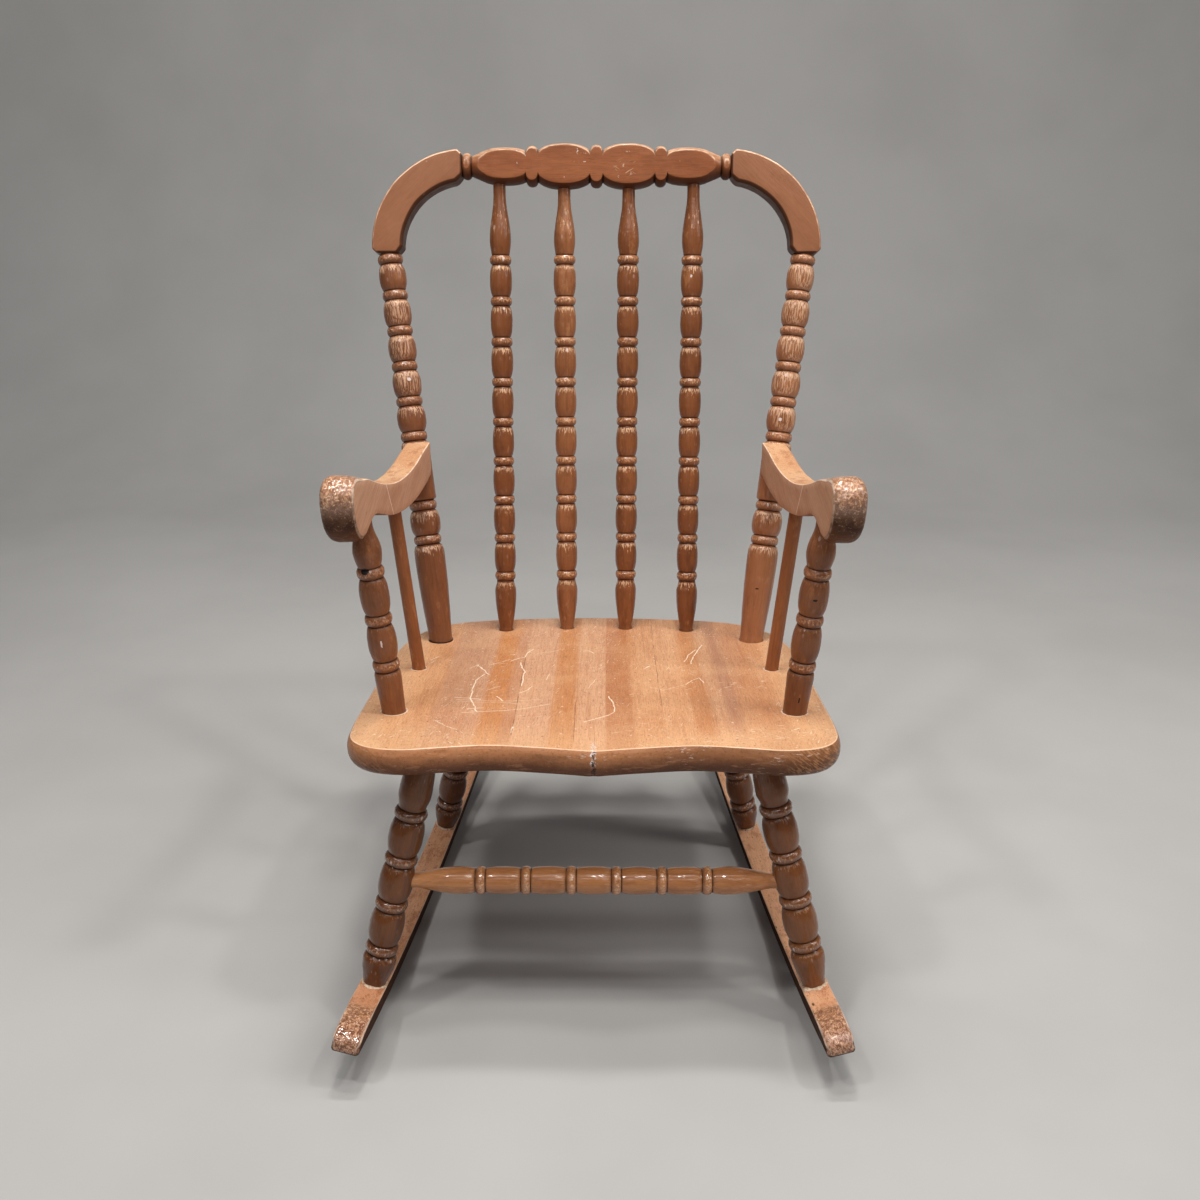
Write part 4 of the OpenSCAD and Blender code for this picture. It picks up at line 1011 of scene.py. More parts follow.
MAT = {}
# post_left: a darker copy of the back post wood for the left post, painted shade, as it gets less light than the right
# post
MAT["post"] = turned_mat("post_wood", srgb(157, 102, 68), srgb(174, 115, 76), srgb(114, 69, 44), srgb(228, 186, 152), srgb(194, 136, 96), coat=0.8, rough=0.38, streak=1.15)
MAT["post_left"] = turned_mat("post_left_wood", srgb(126, 78, 50), srgb(141, 89, 57), srgb(94, 55, 34), srgb(224, 180, 146), srgb(184, 126, 88), coat=0.8, rough=0.38, streak=1.15)
MAT["turned"] = turned_mat("spindle_wood", srgb(128, 76, 44), srgb(144, 88, 52), srgb(88, 50, 29), srgb(230, 186, 146), srgb(200, 140, 92), coat=0.8, rough=0.38)
MAT["turned_light"] = turned_mat("spindle_light_wood", srgb(146, 92, 57), srgb(164, 106, 68), srgb(102, 60, 36), srgb(234, 192, 152), srgb(214, 156, 108), coat=0.8, rough=0.38)
MAT["armpost"] = turned_mat("arm_post_wood", srgb(124, 76, 48), srgb(140, 88, 56), srgb(88, 52, 33), srgb(214, 164, 124), srgb(184, 122, 80), coat=0.6, rough=0.36, streak=0.35)
# leg_left: a darker copy of the leg wood for the left legs, painted shade, as they get less light than the right ones
MAT["leg"] = turned_mat("leg_wood", srgb(112, 64, 33), srgb(128, 77, 40), srgb(80, 44, 23), srgb(206, 160, 128), srgb(150, 94, 54), coat=0.9, rough=0.36, streak=0.4, shine=1.0, chips=0.7, relief=0.35)
MAT["leg_left"] = turned_mat("leg_left_wood", srgb(98, 54, 26), srgb(113, 66, 32), srgb(69, 37, 18), srgb(200, 152, 118), srgb(138, 84, 46), coat=0.9, rough=0.36, streak=0.4, shine=1.0, chips=0.7, relief=0.35)
MAT["dowel"] = turned_mat("dowel_wood", srgb(145, 89, 54), srgb(164, 105, 66), srgb(117, 69, 42), srgb(222, 176, 140), srgb(206, 146, 100), streak=0.3, chips=0.3)
MAT["stretcher"] = turned_mat("stretcher_wood", srgb(172, 113, 70), srgb(190, 130, 82), srgb(126, 76, 45), srgb(230, 186, 148), srgb(210, 150, 100), coat=1.0, rough=0.30, streak=0.25, shine=1.0, chips=0.4, relief=0.2)
MAT["crest"] = crest_mat("crest_wood", srgb(132, 74, 41), srgb(147, 87, 50), srgb(98, 53, 28), srgb(156, 96, 58), NICKS)
MAT["corner"] = crest_mat("corner_wood", srgb(142, 92, 63), srgb(150, 99, 69), srgb(124, 78, 52), srgb(160, 108, 78))
# the rockers' side colours are very dark: painted shade for the shadow the sides stand in under the seat
ROCKER_SIDE_SHADED = [srgb(76, 48, 33), srgb(66, 42, 29), srgb(52, 33, 22), srgb(52, 34, 24)]
MAT["arm"] = board_mat("arm_wood",
                       [srgb(204, 159, 129), srgb(194, 145, 115), srgb(174, 123, 94), srgb(104, 68, 48)],
                       [srgb(214, 168, 128), srgb(198, 146, 106), srgb(174, 118, 82)],
                       srgb(246, 216, 190), srgb(236, 194, 156), srgb(62, 34, 20), srgb(212, 154, 114), pit=0.25, gloss_low=0.12)
MAT["rocker"] = board_mat("rocker_wood", ROCKER_SIDE_SHADED,
                          [srgb(226, 168, 128), srgb(214, 152, 112), srgb(184, 118, 82)],
                          srgb(240, 206, 180), srgb(124, 74, 50), srgb(134, 80, 54), srgb(216, 154, 112), pit=1.0, gloss_low=0.35, top_gloss=0.28, low=0.85, dent=150)
# rocker_right: a lighter copy of the rocker wood for the right rocker's top, painted light, as it catches more light
# than the left one
MAT["rocker_right"] = board_mat("rocker_right_wood", ROCKER_SIDE_SHADED,
                                [srgb(248, 188, 145), srgb(238, 174, 131), srgb(208, 140, 100)],
                                srgb(240, 206, 180), srgb(130, 82, 58), srgb(150, 96, 68), srgb(216, 154, 112), pit=1.0, gloss_low=0.35, top_gloss=0.28, low=0.85, dent=150)
MAT["glue"] = glue_mat()
MAT["steel"] = steel_mat()

# ------------------------------------------------------------------ the pieces
made = []


def place(ob, mat, slot, *nodes):
    ob.data.materials.append(mat)
    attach(ob, "root")
    if nodes:
        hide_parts(*nodes)
    made.append(ob)
    return ob


SIDES = ((False, "right"), (True, "left"))

# --- back posts
BR = lambda s: lerp(14.2, 12.8, (s - 105) / 286)
MR = lambda s: lerp(15.6, 13.7, (s - 105) / 286)


def post_turn():
    T = Turn()
    T.pt((11.9, -6), (11.9, 4))
    T.line(4, 11.9, 88, MR(100), 24, ease=True)
    T.pt((MR(100) - 0.1, 93.5), (MR(100) - 0.6, 96.5), (MR(100) - 1.6, 99.2), (BR(105) - 2, 100.6))
    T.bead(105.6, BR(105.6), 9.6)
    T.barrel(110.6, 136.3, BR(120) - 2, MR(123), BR(130) - 2)
    T.bead(141.3, BR(141.3), 9.6)
    T.pt((BR(150) - 2, 146.4), (14.0, 147.6), (14.4, 149.4))
    T.line(149.4, 14.4, 202.4, 14.4, 12)
    T.pt((14.1, 204.4), (13.2, 206.4), (BR(205) - 2, 207.6))
    up = [212.7 + 35.7 * k for k in range(6)]
    T.bead(up[0], BR(up[0]), 9.6)
    for k in range(5):
        a, b = up[k], up[k + 1]
        T.barrel(a + 5, b - 5, BR(a) - 2, MR((a + b) / 2), BR(b) - 2)
        T.bead(b, BR(b), 9.6)
    T.pt((BR(400) - 2.5, POST_LEN + 5))
    return T


for left, w in SIDES:
    rubs = [(212.7 + 35.7 * k + 19, -90 + (14, -20, 9, -12, 22)[k], 13, 17, 2) for k in range(5)]
    # the kind-1 spots at 269.7 mm (left) and 229.8 mm (right) are white glints painted as pale chips: painted
    # highlights
    if left:
        marks = rubs[1:4] + [(269.7, -110, 2.0, 2.2, 1), (128, -84, 5, 6, 2)]
    else:
        marks = rubs + [(55.5, -102, 0.9, 2.0, 0), (229.8, -101, 2.0, 2.0, 1), (128, -100, 6, 8, 2)]
    ob = lathe(f"back_post_{w}_wood", post_turn(), POST_FOOT, POST_TOP, 11 + left, 96, left, reach=9, marks=marks)
    place(ob, MAT["post_left" if left else "post"], "turned_wood", f"back_post_{w}")

# --- spindles
SPN = {(0, True): 1, (1, True): 2, (1, False): 3, (0, False): 4}
for (k, left), num in SPN.items():
    f = A(SP_FX[k], SP_FY[k], top_z(SP_FY[k]))
    t = A(SP_TX[k], CREST_Y, CREST_Z)
    T, r, e, b0 = Turn(), 11.0, 2.0, 59.5
    T.pt((7, -5), (7, 3))
    T.vase(3.5, b0 - 5, 7, r + 0.3, r - e, 0.76)
    T.bead(b0, r, 9.4)
    for i in range(8):
        a, c = b0 + 40.7 * i, b0 + 40.7 * (i + 1)
        T.barrel(a + 5, c - 5, r - e, r + 0.3, r - e)
        T.bead(c, r, 9.4)
    T.vase(b0 + 8 * 40.7 + 5, SP_CUT[k] - 8, r - e, r - 0.2, 6.35, 0.25, n=60)
    T.pt((6.35, SP_CUT[k] - 6), (6.35, SP_CUT[k] + 8))
    marks = [(368.9, -99, 1.6, 1.1, 1)] if num == 4 else ()
    ob = lathe(f"spindle_{num}_wood", T, f, t, 20 + num, 72, left, marks=marks)
    place(ob, MAT["turned_light" if num == 2 else "turned"], "turned_wood", f"spindle_{num}")

# --- arm posts and dowels
for left, w in SIDES:
    T, r, e = Turn(), 12.5, 2.0
    br = r - 0.8
    T.pt((10.3, -5), (10.3, 3))
    T.line(3, 10.3, 33, 11.6, 10)
    T.pt((11.5, 36), (11.0, 38.8), (br - e, 40.4))
    T.bead(45.6, br, 9.8)
    T.barrel(50.8, 83, br - e, r, br - e)
    T.bead(88.2, br, 9.8)
    T.barrel(93.4, 125.5, br - e, r, br - e)
    T.bead(130.7, br, 9.8)
    T.vase(135.9, 172, br - e, r - 0.4, 8, 0.35)
    T.pt((8, 174), (8, 186))
    marks = [(134.6, -77, 2.8, 3.8, 0), (69.3, -98.6, 3.4, 0.9, 1)] if left else [(110, -95, 0.8, 2.5, 0), (16.5, -92, 3.2, 0.7, 0)]
    ob = lathe(f"arm_post_{w}_wood", T, ARM_POST_FOOT, ARM_POST_FOOT + ARM_POST_DIR, 31 + left, 112, left,
               reach=3.5, neck=0.3, marks=marks)
    place(ob, MAT["armpost"], "turned_wood", f"arm_post_{w}")
    T = Turn()
    T.pt((6.35, -5), (6.35, 2))
    T.line(2, 6.35, 164, 6.35, 60)
    T.pt((6.35, 168))
    ob = lathe(f"arm_dowel_{w}_wood", T, DOWEL_FOOT, DOWEL_FOOT + DOWEL_DIR, 35 + left, 40, left, rough=0.05, wear=0.2)
    place(ob, MAT["dowel"], "turned_wood", f"arm_dowel_{w}")

# --- legs
for left, w in SIDES:
    for where, top, foot, fr, r in (("front", FRONT_TOP, FRONT_FOOT, 10.3, 15.2), ("rear", REAR_TOP, REAR_FOOT, 10.0, 14.9)):
        L = float(np.linalg.norm(foot - top))
        first = 54 if left else 48.5
        beads = [first + 43.3 * k for k in range(4)] if where == "front" else [L - 32.3 - 43.3 * (3 - k) for k in range(4)]
        br, e, T = r - 0.7, 2.6, Turn()
        T.pt((12.2, -5), (12.2, 4))
        T.vase(4.2, beads[0] - 5.3, 12.2, r - 0.9, br - e, 0.72)
        T.bead(beads[0], br, 10, e)
        for k in range(3):
            T.barrel(beads[k] + 5.2, beads[k + 1] - 5.2, br - e, r, br - e)
            T.bead(beads[k + 1], br, 10, e)
        T.vase(beads[3] + 5.2, L + 6, br - e, r - 0.2, fr - 0.6, 0.16)
        ob = lathe(f"{where}_leg_{w}_wood", T, top, foot, 41 + left + 2 * (where == "rear"), 72, left, up=-1, reach=4.0)
        place(ob, MAT["leg_left" if left else "leg"], "turned_wood", f"{where}_leg_{w}")

# --- stretcher
T, r, e = Turn(), 12.2, 1.8
b = [(k - 2.5) * 39.3 for k in range(6)]
end = STR_P[0] - 4
cone = [(lerp(6.5, r - 0.3, math.sin(math.pi / 2 * i / 24) ** 1.2), i / 24 * 37) for i in range(25)]
T.pt((6.5, -end), (6.5, -154))
for cr_, ct in cone:
    T.pt((cr_, -153.5 + ct))
T.pt((r - 0.35, -112), (r - 0.6, -109), (r - 1.0, -105.6), (r - e, -102.9))
T.bead(b[0], r, 8.8, e)
for k in range(5):
    T.barrel(b[k] + 4.6, b[k + 1] - 4.6, r - e, r - 0.4, r - e)
    T.bead(b[k + 1], r, 8.8, e)
T.pt((r - e, 102.9), (r - 1.0, 105.6), (r - 0.6, 109), (r - 0.35, 112))
for cr_, ct in cone[::-1]:
    T.pt((cr_, 153.5 - ct))
T.pt((6.5, 154), (6.5, end))
ob = lathe("front_stretcher_wood", T, A(0, STR_P[1], STR_P[2]), A(1, STR_P[1], STR_P[2]), 51, 60, rough=0.07, wear=0.5)
place(ob, MAT["stretcher"], "stretcher_wood", "front_stretcher")


# --- crest rail: turned, then milled flat front and back
def crest_rail():
    T = Turn()
    half = [(15.2 + 5.5 * math.cos(math.radians(a)), 6.2 * math.sin(math.radians(a))) for a in range(0, 91, 6)]
    T.pt(*half)
    T.barrel(6.5, 58.2, 15.4, 22.1, 15.2, n=40)
    T.bead(64.4, 19.7, 12, 4.4)
    T.barrel(70.6, 112, 14.7, 18.2, 15, n=34)
    T.pt((14.6, 113.2), (13.7, 115.6), (12.4, 118.6), (11.1, 121.8), (10.2, 123.8), (9.8, 124.8))
    T.bead(129.8, 12.8, 9.2, 3.0)
    T.pt((10.4, 134.4), (6.3, 134.6), (6.3, 144))
    s, r = np.array(T.s), np.array(T.r)
    S, Q = [s[0]], [r[0]]
    for i in range(1, len(s)):
        k = max(1, int(math.ceil(abs(s[i] - s[i - 1]) / 1.2)))
        for j in range(1, k + 1):
            S.append(lerp(s[i - 1], s[i], j / k))
            Q.append(lerp(r[i - 1], r[i], j / k))
    s, r = np.array(S), np.array(Q)
    s, r = np.r_[-s[:0:-1], s], np.r_[r[:0:-1], r]
    half_t, kk = CREST_T / 2, 0.32
    V, G, M, X = [], [], [], []
    nf, na = 14, 26
    gr = np.array([-134.6, -124.9, -70.6, -58.2, -6.4, 6.4, 58.2, 70.6, 124.9, 134.6])
    for sx, rr in zip(s, r):
        beta = math.acos(min(1.0, half_t / rr))
        t = 0.5 - 0.5 * np.cos(np.linspace(0, math.pi, nf, endpoint=False))
        ta = 0.5 - 0.5 * np.cos(np.linspace(0, math.pi, na, endpoint=False))
        th = np.r_[-beta + 2 * beta * t, beta + (math.pi - 2 * beta) * ta,
                   math.pi - beta + 2 * beta * t, math.pi + beta + (math.pi - 2 * beta) * ta]
        c, q = np.cos(th), np.sin(th)
        yy = rr * np.abs(c)
        yc = half_t - kk * np.log1p(np.exp(np.clip((half_t - yy) / kk, -40, 40)))
        yc = np.maximum(yc, 0)
        y, v = np.sign(c) * yc, rr * q
        flat = sm(yy, half_t - 0.1, half_t + 0.5)
        near = np.abs(sx - gr).min()
        # the edge line is mostly on the upper edge: partly a painted highlight
        line = np.exp(-((yy - half_t + 0.05) / 0.5) ** 2) * (1.0 if rr > 12.4 else 0.0) * np.where(q > 0, 1.0, 0.12)
        pos = np.stack([np.full_like(y, sx), y, v], 1)
        dv = (vnoise(pos, (0.05, 0.05, 0.05), 61) - 0.5) * 0.35
        v = v + dv * (rr > 7)
        V.append(crest_map(sx, y, v))
        G.append(np.stack([v + 137, y - 61, np.full_like(y, sx) + 55], 1))
        groove = math.exp(-(near / 1.0) ** 2) * (1 - flat)
        M.append(np.stack([flat, groove + 0 * flat, line], 1))
        # up: pale up-facing edge, partly a painted highlight
        up = np.clip(q, 0, 1) ** 1.5 * (1 - flat)
        # down: painted shade on the rail's underside
        down = np.clip(-q, 0, 1) ** 0.8 * (1 - flat)
        X.append(np.stack([up, down, 0 * up], 1))
    n, m = len(s), 2 * (nf + na)
    V = np.vstack(V + [crest_map(A(s[0]), A(0.0), A(0.0)), crest_map(A(s[-1]), A(0.0), A(0.0))])
    G, M, X = np.vstack(G), np.vstack(M), np.vstack(X)
    G, M, X = [np.vstack([q, q[:1], q[-1:]]) for q in (G, M, X)]
    faces = []
    for i in range(n - 1):
        for j in range(m):
            k = (j + 1) % m
            faces.append((i * m + j, i * m + k, (i + 1) * m + k, (i + 1) * m + j))
    for j in range(m):
        k = (j + 1) % m
        faces.append((n * m, k, j))
        faces.append((n * m + 1, (n - 1) * m + j, (n - 1) * m + k))
    ob = make("crest_rail_wood", V, faces, G, M, aux=X, sharp=50)
    bm = bmesh.new()
    bm.from_mesh(ob.data)
    bmesh.ops.remove_doubles(bm, verts=bm.verts, dist=1e-7)
    bmesh.ops.dissolve_degenerate(bm, dist=1e-7, edges=bm.edges)
    bmesh.ops.recalc_face_normals(bm, faces=bm.faces)
    bm.to_mesh(ob.data)
    bm.free()
    return ob


place(crest_rail(), MAT["crest"], "crest_wood", "crest_rail")


# --- corner blocks
def block_outline():
    o0, o1 = math.degrees(math.acos((BLOCK_END - BLOCK_X) / RO)), math.degrees(math.asin((POST_TOP_V - BLOCK_V) / RO))
    i0, i1 = math.degrees(math.acos((BLOCK_END - BLOCK_X) / RI)), math.degrees(math.asin((POST_TOP_V - BLOCK_V) / RI))
    out = [A(BLOCK_X + RO * math.cos(math.radians(a)), BLOCK_V + RO * math.sin(math.radians(a))) for a in np.linspace(o0, o1, 60)]
    inn = [A(BLOCK_X + RI * math.cos(math.radians(a)), BLOCK_V + RI * math.sin(math.radians(a))) for a in np.linspace(i1, i0, 44)]
    P = resample(np.array(out + inn), 1.6, closed=True)
    # round the four corners by smoothing near them
    C = [out[0], out[-1], inn[0], inn[-1]]
    rad = [5.0, 4.0, 7.0, 7.0]
    for _ in range(40):
        Q = (np.roll(P, 1, 0) + np.roll(P, -1, 0)) / 2
        w = np.zeros(len(P))
        for c, r in zip(C, rad):
            w = np.maximum(w, sm(np.linalg.norm(P - c, axis=1), r, r * 0.4))
        P = P + (Q - P) * w[:, None] * 0.6
    return P


for left, w in SIDES:
    P = block_outline()
    n = len(P)
    ang = np.degrees(np.arctan2(P[:, 1] - BLOCK_V, P[:, 0] - BLOCK_X))
    rad = np.hypot(P[:, 0] - BLOCK_X, P[:, 1] - BLOCK_V)
    inner = sm(rad, 72, 66)
    ro = 2.0 + 1.6 * inner
    h = CREST_T / 2
    rows = []
    for a in np.radians([90, 72, 54, 36, 20, 8]):
        rows.append((-(h - ro + ro * np.sin(a)), ro * (1 - np.cos(a))))
    rows.append((-(h - ro) + 0.4, 0.0))
    for t in (-0.4, 0.0, 0.4):
        rows.append((h * t, 0.0))
    for a in np.radians([8, 20, 36, 54, 72, 90]):
        rows.append(((h - ro + ro * np.sin(a)), ro * (1 - np.cos(a))))
    sd = 71 + left

    def fn(x, v, wy, sd=sd):
        p = np.stack([x, v, wy], 1)
        k = (vnoise(p, 0.06, sd) - 0.5) * 0.5
        return crest_map(x + k, wy, v + k)

    def grain(x, v, wy, sd=sd):
        # straight grain across the arc
        c, s_ = math.cos(math.radians(45)), math.sin(math.radians(45))
        return np.stack([x * c + v * s_ + sd * 11, wy + sd * 7, -x * s_ + v * c], 1)

    def mask(x, v, wy, k, N):
        flat = 1.0 if k == 0 or k == len(rows) - 1 else 0.0
        line = 1.0 if k in (1, 2, len(rows) - 3, len(rows) - 2) else 0.0
        r_ = np.hypot(x - BLOCK_X, v - BLOCK_V)
        # the edge line is stronger on the outer, upward-facing edge: partly a painted highlight
        line = line * (0.35 + 0.65 * sm(r_, 85, 92)) * np.clip(0.45 + N[:, 1], 0.1, 1)
        return np.stack([np.full(len(x), flat), np.zeros(len(x)), line], 1)

    def aux(x, v, wy, k, N):
        flat = 1.0 if k == 0 or k == len(rows) - 1 else 0.0
        # up: pale up-facing edge, partly a painted highlight
        up = np.clip(N[:, 1], 0, 1) * (1 - flat)
        flat_ = 1.0 if k in (0, len(rows) - 1) else 0.0
        # down: painted shade on the block's lower inner edge
        down = np.clip(-(N[:, 0] + N[:, 1]) * 0.85 + 0.05, 0, 1) * (1 - flat_)
        return np.stack([up, down, np.zeros(len(x))], 1)

    ob = slab(f"corner_block_{w}_wood", P, rows, fn, grain, mask, left, aux=aux, sharp=50)
    place(ob, MAT["corner"], "crest_wood", f"corner_block_{w}")

# --- arms
ARM_TOP = [[42, 164.5], [31, 168.5], [21, 179], [15.5, 196], [18.5, 210], [29, 218.5], [42, 219],
           [60, 214.5], [86, 207], [112, 200.5], [140, 195], [178, 190.5], [220, 190], [262, 193.5],
           [300, 200], [345, 206]]
ARM_LOW = [[345, 174], [328, 170.5], [300, 165.5], [262, 161], [222, 159.5], [186, 161],
           [158, 164], [132, 168.5], [108, 174.5], [92, 177.8], [77, 177], [65, 172], [54, 166.5], [42, 164.5]]


def arm_in(y):
    return 183 - (y - 15) * 12.5 / 313


def arm_w(y):
    return np.interp(y, [0, 70, 120, 170, 360], [27, 27, 25.35, 24.3, 24])


y_end = float(on_post(190)[1]) - 5
for left, w in SIDES:
    topl, lowl = catmull(ARM_TOP, 12), catmull(ARM_LOW, 12)
    topl, lowl = topl[topl[:, 0] < y_end], lowl[lowl[:, 0] < y_end]
    P = np.vstack([topl, [[y_end, np.interp(y_end, [300, 345], [200, 206])]],
                   [[y_end, np.interp(y_end, [300, 328, 345], [165.5, 170.5, 174])]], lowl])
    P = resample(P, 1.5, closed=True)
    P[:, 1] += np.array([top_z(y) for y in P[:, 0]])
    if 0.5 * np.sum(P[:, 0] * np.roll(P[:, 1], -1) - np.roll(P[:, 0], -1) * P[:, 1]) < 0:
        P = P[::-1].copy()
    yy = P[:, 0]
    scroll = sm(yy, 78, 44)
    W_ = arm_w(yy)
    ro = 2.6 + 5.6 * scroll
    crown = 4.3 * scroll
    at = lambda t: crown * (1 - np.sqrt(np.clip(1 - (1 - np.clip(t, 0, 1)) ** 2, 0, 1)))
    rows = [(0.0, crown + 0.75), (0.22, crown + 0.30), (0.65, at(0.65 / 15) + 0.04)]
    for t in (1.4, 2.4, 3.6, 5, 7, 9, 11, 13, 15):
        rows.append((t, at(t / 15)))
    for a in np.radians([0, 12, 26, 40, 54, 68, 80, 90]):
        rows.append((W_ - ro + ro * np.sin(a), ro * (1 - np.cos(a))))
    nr = len(rows)
    sd = 81 + left

    def fn(y, z, wx, sd=sd):
        p = np.stack([y, z, wx], 1)
        k = (vnoise(p, 0.07, sd) - 0.5) * 0.7 * sm(wx, 0.5, 4)
        c = (vnoise(p, 0.35, sd + 3) - 0.5) * 0.35 * sm(wx, 0.5, 3) * sm(y, 70, 40)
        return np.stack([arm_in(y) + wx, y + c, z + k], 1)

    def grain(y, z, wx, sd=sd):
        a = math.radians(20)
        zz_ = z - top_z(100) - 180
        l = y * math.cos(a) + zz_ * math.sin(a)
        q = -y * math.sin(a) + zz_ * math.cos(a)
        return np.stack([q + sd * 5, wx + sd * 9, l], 1)

    def mask(y, z, wx, k, N):
        cap = 1.0 if k in (0, nr - 1) else 0.0
        h = z - np.array([top_z(v) for v in y])
        up = sm(N[:, 1], 0.15, 0.6) * (1 - cap)
        sc = sm(y, 62, 38) * (1 - cap)
        # the edge line is stronger on upward-facing edges: partly a painted highlight
        line = 1.0 if k in (1, 2) else 0.0
        return np.stack([up, sc, np.full(len(y), line) * (0.35 + 0.65 * np.clip(N[:, 1] + 0.4, 0, 1))], 1)

    def aux(y, z, wx, k, N):
        h = z - np.array([top_z(v) for v in y])
        down = sm(h, 216, 178)
        # painted shade: the arm's down-facing sides are marked dark
        dark = sm(N[:, 1], -0.35, -0.8) * 0.8 * (0.0 if k in (0, nr - 1) else 1.0)
        joint = y - 143.6 - (-0.664) * (z - top_z(100) - 175)
        return np.stack([down, dark, np.clip(0.5 + joint / 40, 0.0, 1.0)], 1)

    ob = slab(f"arm_{w}_wood", P, rows, fn, grain, mask, left, aux=aux, sharp=48,
              capw=(None, lambda a, b: arm_w(a)))
    place(ob, MAT["arm"], "arm_wood", f"arm_{w}")


# --- rockers
def rock_low(u):
    return R_ROCK - np.sqrt(R_ROCK ** 2 - u ** 2)


def rocker_outline():
    lo = [A(u, rock_low(u)) for u in np.linspace(-281, 281, 380)]
    Q = R_ROCK - D_ROCK

    def end(u1, L, tip, d):
        o = []
        for q in np.radians(np.linspace(0, 90, 40)):
            u = u1 - L + L * math.sin(q) ** 0.85
            o.append(A(d * u, rock_low(u) + tip + (D_ROCK - tip) * max(math.cos(q), 0) ** 0.85))
        for q in np.radians(np.linspace(12, 90, 8)):
            u = u1 - 4.5 + 4.5 * math.cos(q)
            o.append(A(d * u, rock_low(u) + tip * (1 - math.sin(q))))
        return o
    nose, tail = end(287, 37, 5, -1), end(287, 30, 9, 1)
    hi = [A(u, R_ROCK - math.sqrt(Q * Q - u * u)) for u in np.linspace(254, -240, 330)]
    return resample(np.array(lo + tail[::-1] + hi + nose), 1.7, closed=True)


def thinner(u):
    """How much narrower each side is near the rounded tip of the nose."""
    t = np.clip((-u - 282.6) / 4.8, 0, 0.98)
    return 4.0 * (1 - np.sqrt(1 - t * t))


for left, w in SIDES:
    P = rocker_outline()
    if 0.5 * np.sum(P[:, 0] * np.roll(P[:, 1], -1) - np.roll(P[:, 0], -1) * P[:, 1]) < 0:
        P = P[::-1].copy()
    nose = sm(P[:, 0], -236, -270)
    ro = 1.3 + 1.6 * nose
    h = W_ROCK / 2
    A_ = np.radians([90, 68, 46, 24, 0])
    hw = h - thinner(P[:, 0])
    rows = [(-(hw - ro + ro * np.sin(a)), ro * (1 - np.cos(a))) for a in A_]
    rows += [(hw * t, 0.0) for t in (-0.6, -0.3, 0.0, 0.3, 0.6)]
    rows += [((hw - ro + ro * np.sin(a)), ro * (1 - np.cos(a))) for a in A_[::-1]]
    nr = len(rows)
    sd = 91 + left

    def fn(u, hh, lx, sd=sd):
        p = np.stack([u, hh, lx], 1)
        top = sm(hh - rock_low(u), 8, 20)
        k = (vnoise(p, 0.05, sd) - 0.5) * 0.9 * top + (vnoise(p, 0.3, sd + 5) - 0.5) * 0.7 * sm(u, -225, -262) * top
        q = rock_map(lx, u, hh + k - 0.3 * top)
        # worn flat along the edge that it runs on
        Rf = R_ROCK / math.cos(CANT)
        d = q - A(ROCK_P[0], ROCK_P[1], 0)
        along_ = -d[:, 0] * math.sin(TOE) + d[:, 1] * math.cos(TOE)
        sag = Rf * (1 - math.cos(math.radians(0.35)))
        fl = np.maximum(Rf - np.sqrt(Rf ** 2 - along_ ** 2) - sag, 0)
        q[:, 2] = np.maximum(q[:, 2], fl)
        return q

    def grain(u, hh, lx, sd=sd):
        return np.stack([hh + sd * 5 - 0.0 * u, lx + sd * 9, u], 1)

    def mask(u, hh, lx, k, N):
        cap = 1.0 if k in (0, nr - 1) else 0.0
        up = sm(N[:, 1], 0.1, 0.5) * (1 - cap)
        ns = sm(u, -233, -250) * (1 - cap) * sm(N[:, 1], -0.6, -0.2) + cap * sm(u, -281.5, -283.5)
        # the edge line is stronger on upward-facing edges: partly a painted highlight
        line = 1.0 if k in (1, 2, nr - 3, nr - 2) else 0.0
        return np.stack([up, ns, np.full(len(u), line) * np.clip(0.3 + N[:, 1], 0.12, 1)], 1)

    def aux(u, hh, lx, k, N):
        down = sm(u, -236, -284)
        # painted shade: the rocker's down-facing sides are marked dark
        dark = sm(N[:, 1], -0.2, -0.7) * 0.5 * (0.0 if k in (0, nr - 1) else 1.0)
        return np.stack([down * 0.75, dark, np.zeros(len(u))], 1)

    ob = slab(f"rocker_{w}_wood", P, rows, fn, grain, mask, left, aux=aux, sharp=48,
              capw=(lambda a, b: -(12 - thinner(a)), lambda a, b: 12 - thinner(a)))
    place(ob, MAT["rocker" if left else "rocker_right"], "rocker_wood", f"rocker_{w}")

# --- seat
HALF_SEAT = [[0, -6], [40, 1], [84, 6], [122, 1.5], [155, -3.5], [184, 2], [202, 20],
             [207, 50], [207, 110], [206.5, 180], [205, 240], [200, 287], [186, 328],
             [160, 356], [122, 371], [60, 380], [0, 383]]
he = catmull(HALF_SEAT, 16)
P = np.vstack([he, (he * [-1, 1])[::-1][1:-1]])
P = resample(P, 2.2, closed=True)
edge = catmull([[-0.35, 3.05], [-0.9, 2.55], [-2.0, 1.85], [-3.5, 1.1], [-5.5, 0.45], [-8, 0], [-11, -0.02], [-14, 0.2], [-17, 0.95],
                [-19.5, 2.2], [-21.8, 4.0], [-23.4, 6.0], [-24.6, 8.4], [-25, 11]], 2)
rows = [(0.0, 12.0), (0.0, 8.0), (0.0, 5.2), (0.0, 4.4), (0.0, 3.9), (-0.08, 3.45)]
nt = len(rows)
rows += [(float(z), float(i)) for z, i in edge]
rows += [(-25.0, 14.0), (-25.0, 18.0)]
nrs = len(rows)


